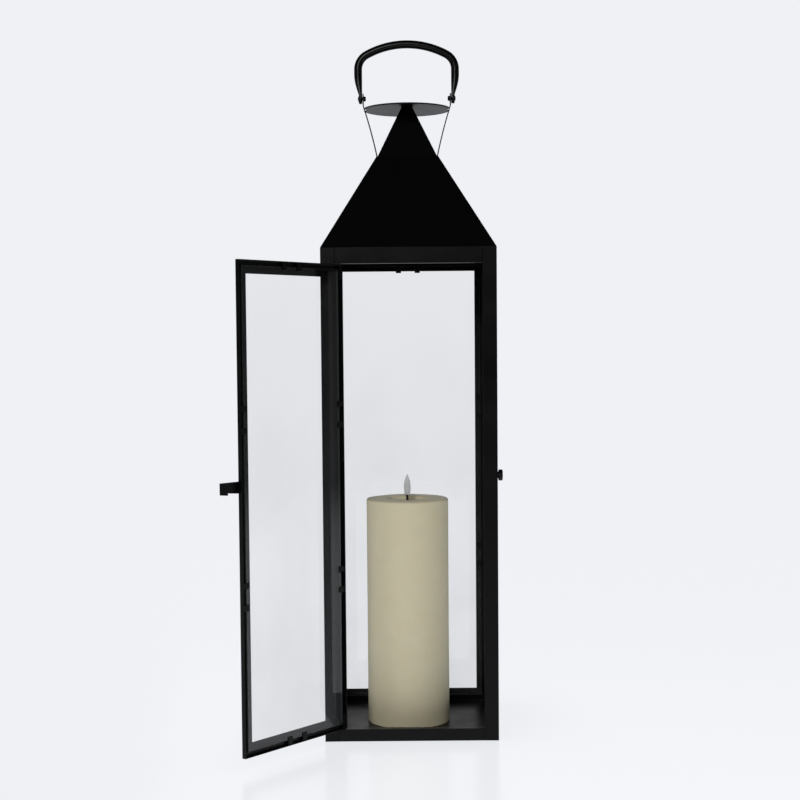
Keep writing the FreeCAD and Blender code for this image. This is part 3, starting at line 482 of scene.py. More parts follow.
def eased(corners: Corners, closed: bool = True, steps: int = 4) -> Outline:
    """Turn each corner of an outline into an arc.

    Args:
        corners: Points as (first, second, radius of the arc there).
        closed: Whether the last corner is followed by the first.
        steps: Number of chords in each arc.

    Returns:
        The outline's points.
    """
    points: Outline = []
    count = len(corners)
    for index, (first, second, radius) in enumerate(corners):
        at_end = not closed and index in (0, count - 1)
        if radius <= 0 or at_end:
            points.append((first, second))
            continue
        here = Vector((first, second))
        back = Vector(corners[index - 1][:2]) - here
        ahead = Vector(corners[(index + 1) % count][:2]) - here
        half_angle = back.angle(ahead) / 2
        cut = min(radius / math.tan(half_angle), 0.49 * back.length, 0.49 * ahead.length)
        start = back.normalized() * cut
        end = ahead.normalized() * cut
        centre = (start + end).normalized() * (cut / math.cos(half_angle))
        spin = Vector(start - centre).angle_signed(end - centre)
        for step in range(steps + 1):
            arm = Matrix.Rotation(-spin * step / steps, 2) @ (start - centre)
            points.append(tuple(here + centre + arm))
    return points


def aimed(place: Vector, axis: Vector) -> Matrix:
    """Matrix that takes the Z axis to an axis through a place."""
    return Matrix.Translation(place) @ axis.to_track_quat("Z", "Y").to_matrix().to_4x4()


class Shape:
    """A mesh being made, in millimetres."""

    def __init__(self) -> None:
        """Start with no faces."""
        self.mesh = bmesh.new()

    def skin(self, rings: Sequence[Sequence[Vector]], closed: bool = False, capped: bool = True,
             shade: int = 0) -> None:
        """Join each ring of points to the next with faces.

        Args:
            rings: Rings with the same number of points, or one point for a tip.
            closed: Whether the last ring joins the first.
            capped: Whether open end rings get a face.
            shade: Number of the finish that the faces take.
        """
        loops = [[self.mesh.verts.new(point) for point in ring] for ring in rings]
        pairs = list(zip(loops, loops[1:]))
        if closed:
            pairs.append((loops[-1], loops[0]))
        faces = []
        for low, high in pairs:
            count = max(len(low), len(high))
            for index in range(count):
                after = (index + 1) % count
                around = (low[index % len(low)], low[after % len(low)],
                          high[after % len(high)], high[index % len(high)])
                corners = list(dict.fromkeys(around))
                if len(corners) > 2:
                    faces.append(self.mesh.faces.new(corners))
        if capped and not closed:
            faces += [self.mesh.faces.new(loop) for loop in (loops[0], loops[-1]) if len(loop) > 2]
        for face in faces:
            face.material_index = shade

    def turn(self, outline: Outline, at: Matrix = Matrix.Identity(4), sides: int = 48,
             closed: bool = False, shade: int = 0,
             shift: Callable[[Vector], Vector] | None = None) -> None:
        """Turn an outline of (radius, height) about the Z axis of a matrix.

        Args:
            outline: Points, which start and end on the axis unless the outline is closed.
            at: Where the turned shape goes.
            sides: Number of points round the axis.
            closed: Whether the outline's end joins its start.
            shade: Number of the finish that the faces take.
            shift: Moves each point before it is placed.
        """
        rings = []
        for radius, height in outline:
            spokes = round_turn(1 if abs(radius) < TINY else sides)
            points = [Vector((radius * across, radius * out, height)) for across, out in spokes]
            rings.append([at @ (shift(point) if shift else point) for point in points])
        self.skin(rings, closed, capped=False, shade=shade)

    def wire(self, path: Sequence[Vector], radius: float, sides: int = 8) -> None:
        """Lay round wire along a path.

        Args:
            path: Points on the wire's middle line.
            radius: The wire's radius.
            sides: Number of points round it.
        """
        rings = []
        last = len(path) - 1
        for index, point in enumerate(path):
            along = path[min(index + 1, last)] - path[max(index - 1, 0)]
            there = aimed(point, along)
            rings.append([there @ Vector((radius * across, radius * out, 0))
                          for across, out in round_turn(sides)])
        self.skin(rings)

    def block(self, low: Vector, high: Vector, shade: int = 0) -> None:
        """Add a six-sided block.

        Args:
            low: Its lowest corner.
            high: Its highest corner.
            shade: Number of the finish that its faces take.
        """
        foot = ((low.x, low.y), (high.x, low.y), (high.x, high.y), (low.x, high.y))
        self.skin([[Vector((x, y, z)) for x, y in foot] for z in (low.z, high.z)], shade=shade)

    def take(self, node: str) -> "Shape":
        """Add a CAD node's faces, with its flat facets joined.

        Args:
            node: The CAD node.

        Returns:
            The shape itself.
        """
        own = bmesh.new()
        own.from_mesh(frame["nodes"][node].data)
        bmesh.ops.scale(own, vec=Vector((1, 1, 1)) / MM, verts=own.verts)
        bmesh.ops.remove_doubles(own, verts=own.verts, dist=SAME_POINT)
        bmesh.ops.dissolve_limit(own, angle_limit=FLAT_ANGLE, verts=own.verts, edges=own.edges)
        for face in own.faces:
            face.material_index = 0
        data = bpy.data.meshes.new(node)
        own.to_mesh(data)
        own.free()
        self.mesh.from_mesh(data)
        bpy.data.meshes.remove(data)
        return self

    def ease(self, radius: float, steps: int = 2,
             wanted: Callable[[bmesh.types.BMEdge], bool] | None = None) -> "Shape":
        """Roll over the sharp edges, as folding, shearing and a coat of enamel leave them.

        Args:
            radius: Radius of the rolled edge.
            steps: Number of faces across it.
            wanted: Test of which sharp edges it is for; all of them if left out.

        Returns:
            The shape itself.
        """
        sharp = [edge for edge in self.mesh.edges
                 if edge.is_manifold and edge.calc_face_angle() > SHARP_ANGLE
                 and edge.calc_length() > 3 * radius and (wanted is None or wanted(edge))]
        bmesh.ops.bevel(self.mesh, geom=sharp, offset=radius, offset_type="OFFSET", segments=steps,
                        profile=0.5, affect="EDGES", clamp_overlap=False)
        return self

    def cut(self, cutter: "Shape") -> None:
        """Take another shape's volume out of this one.

        Args:
            cutter: The shape to take out, which is used up.
        """
        objects = []
        for shape in (self, cutter):
            bmesh.ops.recalc_face_normals(shape.mesh, faces=shape.mesh.faces)
            data = bpy.data.meshes.new("cutting")
            shape.mesh.to_mesh(data)
            shape.mesh.free()
            item = bpy.data.objects.new("cutting", data)
            bpy.context.scene.collection.objects.link(item)
            objects.append(item)
        body, tool = objects
        difference = body.modifiers.new("cut", "BOOLEAN")
        difference.operation = "DIFFERENCE"
        difference.solver = "EXACT"
        difference.object = tool
        view = bpy.context.evaluated_depsgraph_get()
        self.mesh = bmesh.new()
        self.mesh.from_object(body, view)
        for item in objects:
            data = item.data
            bpy.data.objects.remove(item)
            bpy.data.meshes.remove(data)

    def finish(self, name: str, node: str, finishes: Sequence[Finish], replaces: bool = True) -> None:
        """Turn the shape into a piece of the lantern, on a CAD node's body.

        Args:
            name: The piece's name.
            node: The CAD node that it belongs with.
            finishes: The piece's finishes, in the order of their numbers.
            replaces: Whether it stands for that node.
        """
        bmesh.ops.recalc_face_normals(self.mesh, faces=self.mesh.faces)
        bmesh.ops.scale(self.mesh, vec=Vector((MM, MM, MM)), verts=self.mesh.verts)
        data = bpy.data.meshes.new(name)
        self.mesh.to_mesh(data)
        self.mesh.free()
        data.shade_smooth()
        for finish in finishes:
            data.materials.append(finish.material())
        piece = bpy.data.objects.new(name, data)
        bpy.context.scene.collection.objects.link(piece)
        even = piece.modifiers.new("even_shading", "WEIGHTED_NORMAL")
        even.weight = NORMAL_WEIGHT
        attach(piece, BODY_OF[node])
        if replaces:
            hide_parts(node)
        LOG.info("%s: %d faces, on %s", name, len(data.polygons), BODY_OF[node])


RECORD = frame["record"]
BODY_OF = {node: body for body, nodes in RECORD["behaviour"]["bodies"].items() for node in nodes}


def joint_of(body: str) -> dict[str, object]:
    """The joint that moves a body."""
    return next(row for row in frame["joints"] if row["child"] == body)


def eased_copy(node: str, finish: Finish, radius: float, steps: int = 2) -> None:
    """Stand in for a CAD node with a copy whose sharp edges are rolled over."""
    Shape().take(node).ease(radius, steps).finish(node + "_eased", node, [finish])


def dress_node(node: str, finish: Finish) -> None:
    """Give a finish of its own to a CAD node that stays.

    Args:
        node: The CAD node.
        finish: The finish that it gets.
    """
    for slot in frame["nodes"][node].material_slots:
        slot.material = finish.material()
    LOG.info("%s: dressed in %s", node, finish.name)


def domed_rivet(shape: Shape, at: Matrix, grip: tuple[float, float], shank: float,
                head: tuple[float, float], tail: tuple[float, float]) -> None:
    """Add a rivet with a domed head at each end of its grip.

    Args:
        shape: The shape that it is added to.
        at: Its axis, as a matrix's Z axis.
        grip: Heights of the two faces that it holds together.
        shank: Radius of its shank.
        head: Radius and height of the upper head.
        tail: Radius and height of the lower, closed end.
    """
    low, high = grip
    steps = 6
    angles = [math.pi / 2 * step / steps for step in range(steps + 1)]
    lower = [(tail[0] * math.sin(angle), low - tail[1] * math.cos(angle)) for angle in angles]
    upper = [(head[0] * math.sin(angle), high + head[1] * math.cos(angle)) for angle in angles[::-1]]
    shape.turn([*lower, (shank, low), (shank, high), *upper], at, sides=24)


# ---- Sheet-metal body ----
@dataclass
class Carcass:
    """Folded corner angles, rails and floor pan, and the stud that the latch meets."""

    fold_radius: float = 0.35
    steps: int = 3
    stud_corner: float = 0.8        # radius of the stud head's corners
    stud_head_depth: float = 3.6
    stud_neck: float = 3.0          # radius between the head and the corner angle
    stud_shank: float = 1.3         # radius through the corner angle
    stud_tail: float = 1.8          # radius of the burred end
    stud_tail_depth: float = 0.8

    def build(self) -> None:
        """Build every piece of the body."""
        posts = [f"corner_post_{end}_{side}" for end in ("front", "rear") for side in ("left", "right")]
        sides = ("right", "rear", "left")
        rails = ["front_lip", "top_rail_front"]
        rails += [f"{level}_rail_{side}" for level in ("bottom", "top") for side in sides]
        for node in posts + rails + ["floor_pan"]:
            eased_copy(node, SATIN_ENAMEL, self.fold_radius, self.steps)
        self.build_stud()

    def build_stud(self) -> None:
        """Turned stud with a cupped head, riveted through the right front corner angle."""
        span = Span.of("catch_stud")
        magnet = Span.of("catch_magnet")
        face = Span.of("corner_post_front_right").high.x
        axis_place = Vector((face, span.middle.y, span.middle.z))
        head = span.size.z / 2
        top = span.high.x - face
        cup_radius = magnet.size.z / 2
        cup = magnet.low.x - face
        neck = top - self.stud_head_depth
        tail = span.low.x - face
        tail_top = tail + self.stud_tail_depth
        corners = [(0, tail, 0), (self.stud_tail, tail, 0.5), (self.stud_tail, tail_top, 0),
                   (self.stud_shank, tail_top, 0), (self.stud_shank, 0, 0),
                   (self.stud_neck, 0, 0.1), (self.stud_neck, neck, 0.2),
                   (head, neck, self.stud_corner), (head, top, self.stud_corner),
                   (cup_radius, top, 0.15), (cup_radius, cup, 0), (0, cup, 0)]
        shape = Shape()
        shape.turn(eased(corners, closed=False), aimed(axis_place, Vector((1, 0, 0))))
        shape.finish("catch_stud_turned", "catch_stud", [GLOSS_ENAMEL])
        dress_node("catch_magnet", MAGNET)


@dataclass
class Glazing:
    """Fixed panes with seamed edges, and the bent clips that hold them."""

    arris: float = 0.25             # width of the seamed edge

    def build(self) -> None:
        """Build the three fixed panes and their clips."""
        for side in ("right", "rear", "left"):
            build_pane("glass_pane_" + side, self.arris)
            eased_copy("glass_clips_" + side, SATIN_ENAMEL, 0.14)


def build_pane(node: str, arris: float) -> None:
    """Pane with seamed edges: its two large faces are clear and its edges are ground.

    Args:
        node: The CAD pane that it stands for.
        arris: Width of the seamed edge.
    """
    shape = Shape().take(node).ease(arris, 1)
    largest = max(face.calc_area() for face in shape.mesh.faces)
    for face in shape.mesh.faces:
        face.material_index = 0 if face.calc_area() > 0.5 * largest else 1
    shape.finish(node + "_seamed", node, [CLEAR_GLASS, GLASS_EDGE])


# ---- Roof, shield and hanger ----
@dataclass
class Roof:
    """Folded pyramid roof, the small pyramid on it, and the screws under its eaves."""

    hip_radius: float = 0.9
    edge_radius: float = 0.22
    rim_radius: float = 0.6         # the upper fold, where the matt coat is rubbed to a satin line
    least_hip: float = 35.0
    screw_head: float = 2.7
    screw_head_height: float = 1.8
    screw_radius: float = 1.5
    screw_point: float = 1.0        # length of the tapered end
    screw_spacing: float = 80.0     # between the two screws of one side
    sheet: float = 1.0
    recess_half: float = 1.35       # half the span of the cross recess
    recess_width: float = 0.5
    recess_depth: float = 1.1

    def build(self) -> None:
        """Build both pyramids and the screws."""
        for node in ("roof_lower", "roof_upper"):
            shape = Shape().take(node)
            shape.ease(self.hip_radius, 4, self.is_hip)
            rim = Span.of(node).high.z - self.rim_radius
            shape.ease(self.rim_radius, 3, lambda edge: min(vertex.co.z for vertex in edge.verts) > rim)
            shape.ease(self.edge_radius)
            for face in shape.mesh.faces:
                face.material_index = int(face.calc_center_median().z > rim)
            shape.finish(node + "_folded", node, [MATT_ENAMEL, SATIN_ENAMEL])
        self.build_screws()

    def is_hip(self, edge: bmesh.types.BMEdge) -> bool:
        """Whether an edge is one of the long slanting folds on the outside."""
        first, last = (vertex.co for vertex in edge.verts)
        return abs(first.z - last.z) > self.least_hip and edge.is_convex

    def build_screws(self) -> None:
        """Pan-head screws up through the top rails' ledges, with a cross recess."""
        span = Span.of("roof_screws")
        ledge = Span.of("top_rail_front")
        half = span.size.y / 2 - self.screw_head
        under = ledge.high.z - self.sheet
        reach = self.screw_spacing / 2
        low = under - self.screw_head_height
        corners = [(0, low, 0), (self.screw_head, low, 1.1), (self.screw_head, under, 0.25),
                   (self.screw_radius, under, 0), (self.screw_radius, span.high.z - self.screw_point, 0.2),
                   (0, span.high.z, 0)]
        screws = Shape()
        recesses = Shape()
        for quarter in range(4):
            turn_there = Matrix.Rotation(math.pi / 2 * quarter, 4, "Z")
            for offset in (-reach, reach):
                place = turn_there @ Vector((offset, -half, 0))
                at = Matrix.Translation(place)
                screws.turn(eased(corners, closed=False), at, sides=28)
                self.add_recess(recesses, place, low)
        screws.cut(recesses)
        screws.finish("roof_screws_turned", "roof_screws", [SATIN_ENAMEL])

    def add_recess(self, shape: Shape, place: Vector, low: float) -> None:
        """Add a cross-shaped prism where a screw's recess goes.

        Args:
            shape: The shape that it is added to.
            place: The screw's place.
            low: Height of the screw's head.
        """
        wide, thin = self.recess_half, self.recess_width / 2
        quadrant = [(wide, -thin), (wide, thin), (thin, thin)]
        outline = []
        for quarter in range(4):
            turn_there = Matrix.Rotation(math.pi / 2 * quarter, 2)
            outline += [turn_there @ Vector(corner) for corner in quadrant]
        rings = [[Vector((place.x + x, place.y + y, z)) for x, y in outline]
                 for z in (low - 0.5, low + self.recess_depth)]
        shape.skin(rings)


@dataclass
class Shield:
    """Spun heat shield with a rolled rim, riveted to the roof's flat tip."""

    flat_radius: float = 8.0
    sheet: float = 0.8
    rim_bead: float = 0.62          # radius of the rolled rim
    sides: int = 192
    dish_power: float = 1.84
    dish_steps: int = 12
    bead_arc: float = 140.0         # degrees each way that the rim is rolled
    bead_steps: int = 10
    bead_lap: float = 0.4           # from the dish's edge to the middle of the bead
    notch_half: float = 7.3         # half the width of the flat by each strap arm
    notch_corner: float = 0.6
    notch_reach: float = 2.4        # how far in from the flat points are moved
    notch_setback: float = 2.25     # flat's middle, in from its ends
    rivet_shank: float = 1.6
    rivet_tail: float = 2.4

    def build(self) -> None:
        """Build the shield and its rivet."""
        span = Span.of("heat_shield")
        top = span.high.z
        drop = span.size.z - self.sheet
        radius = span.high.y
        upper: Outline = [(0, top), (self.flat_radius, top)]
        lower: Outline = [(0, top - self.sheet), (self.flat_radius, top - self.sheet)]
        bead_radius = radius - self.rim_bead
        for step in range(1, self.dish_steps + 1):
            share = step / self.dish_steps
            where = self.flat_radius + (bead_radius - self.bead_lap - self.flat_radius) * share
            fall = drop * share ** self.dish_power
            upper.append((where, top - fall))
            lower.append((where, top - self.sheet - fall))
        bead_height = span.low.z + self.rim_bead
        bead = []
        for step in range(self.bead_steps + 1):
            angle = math.radians(self.bead_arc * (1 - 2 * step / self.bead_steps))
            bead.append((bead_radius + self.rim_bead * math.cos(angle),
                         bead_height + self.rim_bead * math.sin(angle)))
        notch = span.high.x

        def flatten_sides(point: Vector) -> Vector:
            """Keep the disc clear of the bail strap's two arms.

            Args:
                point: A point of the disc.

            Returns:
                The point, moved in where an arm passes.
            """
            if abs(point.y) < self.notch_half and abs(point.x) > notch - self.notch_reach:
                inside = abs(point.y) < self.notch_half - self.notch_corner
                limit = notch - self.notch_setback if inside else notch
                point.x = max(-limit, min(limit, point.x))
            return point

        shape = Shape()
        shape.turn(upper + bead + lower[::-1], sides=self.sides, shift=flatten_sides)
        shape.finish("heat_shield_spun", "heat_shield", [SATIN_ENAMEL])
        self.build_rivet()

    def build_rivet(self) -> None:
        """Domed rivet through the middle of the shield and the roof's tip."""
        span = Span.of("shield_rivet")
        top = Span.of("heat_shield").high.z
        under = top - 2 * self.sheet
        shape = Shape()
        domed_rivet(shape, Matrix.Identity(4), (under, top), self.rivet_shank,
                    (span.size.x / 2, span.high.z - top), (self.rivet_tail, under - span.low.z))
        shape.finish("shield_rivet_domed", "shield_rivet", [GLOSS_ENAMEL])


@dataclass
class Hanger:
    """Strap on the roof, its rivets, and the round-bar bail that swings on two pins."""

    strap_edge: float = 0.2
    rivet_place: float = 18.0       # distance of each rivet from the middle
    rivet_shank: float = 1.6        # radii here, and radius and height of each end
    rivet_head: tuple[float, float] = (2.6, 1.2)
    rivet_tail: tuple[float, float] = (2.2, 0.8)
    bar_radius: float = 3.6
    eye_thickness: float = 3.2
    eye_width: float = 8.4
    eye_overlap: float = 0.4
    neck: float = 3.4               # height of the flattened part above the pin
    taper_end: float = 22.0
    corner_radius: float = 15.0
    crown_radius: float = 76.0      # bend of the bail's top, to the bar's middle
    bar_sides: int = 32
    strap_sheet: float = 0.9
    pin_radius: float = 1.5
    pin_head: float = 2.25
    pin_head_depth: float = 2.0
    pin_tail: float = 2.3
    pin_tail_depth: float = 0.8

    def build(self) -> None:
        """Build the strap, its rivets, the pins and the bail."""
        eased_copy("bail_strap", SATIN_ENAMEL, self.strap_edge)
        self.build_rivets()
        self.build_pins()
        self.build_bail()

    def build_rivets(self) -> None:
        """Two domed rivets that hold the strap to the roof."""
        span = Span.of("strap_rivets")
        low = span.low.z + self.rivet_tail[1]
        high = span.high.z - self.rivet_head[1]
        shape = Shape()
        for side in (-1, 1):
            at = Matrix.Translation(Vector((side * self.rivet_place, 0, 0)))
            domed_rivet(shape, at, (low, high), self.rivet_shank, self.rivet_head, self.rivet_tail)
        shape.finish("strap_rivets_domed", "strap_rivets", [SATIN_ENAMEL])

    def build_pins(self) -> None:
        """Shouldered pins, round-headed inside and burred over outside the bail's eyes."""
        span = Span.of("bail_pins")
        strap = Span.of("bail_strap")
        inner = strap.high.x - self.strap_sheet
        grip = span.high.x - self.pin_tail_depth - inner
        head = -self.pin_head_depth
        corners = [(0, head, 0), (self.pin_head, head, 1.2), (self.pin_head, 0, 0.15),
                   (self.pin_radius, 0, 0), (self.pin_radius, grip, 0), (self.pin_tail, grip, 0.1),
                   (self.pin_tail - 0.2, grip + 0.5, 0.35), (0, grip + self.pin_tail_depth, 0)]
        shape = Shape()
        for side in (-1, 1):
            at = aimed(Vector((side * inner, 0, self.pivot_height())), Vector((side, 0, 0)))
            shape.turn(eased(corners, closed=False), at, sides=28)
        shape.finish("bail_pins_turned", "bail_pins", [GLOSS_ENAMEL])

    def pivot_height(self) -> float:
        """Height of the pins, from the bail's own joint."""
        return joint_of("bail")["pos_m"][2] / MM

    def build_bail(self) -> None:
        """Bend the bar into an arch: flattened eye, taper, leg, corner and crown, then its mirror."""
        span = Span.of("bail")
        half_span = span.high.x - self.bar_radius
        crown_top = span.high.z - self.bar_radius
        pivot = self.pivot_height()
        eye_middle = half_span - self.bar_radius + self.eye_thickness / 2
        rings = self.eye_rings(pivot, eye_middle, half_span)
        crown_height = crown_top - self.crown_radius
        reach = self.crown_radius - self.corner_radius
        corner_x = half_span - self.corner_radius
        corner_z = crown_height + math.sqrt(reach ** 2 - corner_x ** 2)
        join = math.atan2(corner_z - crown_height, corner_x)
        steps = 14
        for step in range(steps + 1):
            angle = join * step / steps
            rings.append(self.bar_ring(corner_x + self.corner_radius * math.cos(angle),
                                       corner_z + self.corner_radius * math.sin(angle), angle))
        crown_steps = 16
        for step in range(1, crown_steps + 1):
            angle = join + (math.pi / 2 - join) * step / crown_steps
            rings.append(self.bar_ring(self.crown_radius * math.cos(angle),
                                       crown_height + self.crown_radius * math.sin(angle), angle))
        mirrored = [[Vector((-point.x, point.y, point.z)) for point in ring] for ring in rings[-2::-1]]
        shape = Shape()
        shape.skin(rings + mirrored)
        shape.finish("bail_bent", "bail", [GLOSS_ENAMEL])

    def bar_ring(self, x: float, z: float, lean: float) -> list[Vector]:
        """Round section of the bar.

        Args:
            x: Distance of its middle from the centre.
            z: Height of its middle.
            lean: Angle from level of the direction out of the bend.

        Returns:
            The section's points.
        """
        outward = Vector((math.cos(lean), 0, math.sin(lean)))
        return [Vector((x, 0, z)) + outward * (self.bar_radius * across)
                + Vector((0, self.bar_radius * along, 0)) for across, along in round_turn(self.bar_sides)]

    def eye_rings(self, pivot: float, eye_middle: float, half_span: float) -> list[list[Vector]]:
        """Sections from the eye's round bottom up to where the bar is round.

        Args:
            pivot: Height of the pin.
            eye_middle: Distance of the flattened eye's middle from the centre.
            half_span: Distance of the bar's middle from the centre.

        Returns:
            Rings of points, the first one a single point.
        """
        round_radius = self.eye_width / 2 + self.eye_overlap
        rings = [[Vector((eye_middle, 0, pivot - round_radius))]]
        for share in (0.02, 0.08, 0.18, 0.32, 0.5, 0.7, 0.88):
            height = -round_radius * (1 - share)
            width = min(self.eye_width / 2, math.sqrt(round_radius ** 2 - height ** 2))
            thick = self.eye_thickness / 2 * min(1.0, 0.45 + 3 * share)
            rings.append(self.flat_ring(eye_middle, pivot + height, thick, width, 0.0))
        rings.append(self.flat_ring(eye_middle, pivot + self.neck * 0.5, self.eye_thickness / 2,
                                    self.eye_width / 2, 0.0))
        taper_steps = 12
        for step in range(taper_steps + 1):
            share = step / taper_steps
            blend = math.sin(math.pi / 2 * share)
            height = pivot + self.neck + (self.taper_end - self.neck) * share
            middle = eye_middle + (half_span - eye_middle) * blend
            thick = self.eye_thickness / 2 + (self.bar_radius - self.eye_thickness / 2) * blend
            width = self.eye_width / 2 + (self.bar_radius - self.eye_width / 2) * blend
            rings.append(self.flat_ring(middle, height, thick, width, blend))
        return rings

    def flat_ring(self, x: float, z: float, thick: float, width: float, roundness: float) -> list[Vector]:
        """Level section of the bar's flattened end.

        Args:
            x: Distance of its middle from the centre.
            z: Its height.
            thick: Half its thickness.
            width: Half its width.
            roundness: From 0, a hammered flat, to 1, a round bar.

        Returns:
            The section's points.
        """
        power = 2 / (3.6 - 1.6 * roundness)
        return [Vector((x + thick * math.copysign(abs(across) ** power, across),
                        width * math.copysign(abs(along) ** power, along), z))
                for across, along in round_turn(self.bar_sides)]


# ---- Door and latch ----
@dataclass
class Door:
    """Mitred frame with a folded edge, its pane, clips and hinge pins."""

    fold_radius: float = 0.3
    arris: float = 0.25

    def build(self) -> None:
        """Build the door's pieces."""
        for member in ("hinge_stile", "latch_stile", "top", "bottom"):
            eased_copy("door_" + member, SATIN_ENAMEL, self.fold_radius, 3)
        build_pane("door_glass", self.arris)
        eased_copy("door_glass_clips", SATIN_ENAMEL, 0.14)
        for end in ("lower", "upper"):
            eased_copy("hinge_pin_" + end, SATIN_ENAMEL, 0.18)


@dataclass
class Latch:
    """Springy strip with a bent-back flap, held to the door by two rivets."""

    edge_radius: float = 0.18
    rivet_gap: float = 4.8
    rivet_shank: float = 1.0        # radii here, and radius and height of each end
    rivet_head: tuple[float, float] = (1.55, 0.9)
    rivet_tail: tuple[float, float] = (1.5, 0.6)
    strip: float = 0.8
    door_sheet: float = 0.9

    def build(self) -> None:
        """Build the strip and its rivets."""
        eased_copy("latch_strip", SATIN_ENAMEL, self.edge_radius)
        self.build_rivets()

    def build_rivets(self) -> None:
        """Two small domed rivets, drawn with the door closed and then swung open."""
        joint = joint_of("door")
        hinge = Vector(joint["pos_m"]) / MM
        opened = (Matrix.Translation(hinge)
                  @ Matrix.Rotation(-math.radians(joint["range_deg"][1]), 4, "Z")
                  @ Matrix.Translation(-hinge))
        rivets = Span.of("latch_rivets")
        closed_middle = opened.inverted() @ rivets.middle
        front = Span.of("corner_post_front_left").low.y
        shape = Shape()
        for side in (-1, 1):
            place = Vector((closed_middle.x, front, rivets.middle.z + side * self.rivet_gap / 2))
            at = opened @ aimed(place, Vector((0, -1, 0)))
            domed_rivet(shape, at, (-self.door_sheet, self.strip), self.rivet_shank,
                        self.rivet_head, self.rivet_tail)
        shape.finish("latch_rivets_domed", "latch_rivets", [SATIN_ENAMEL])


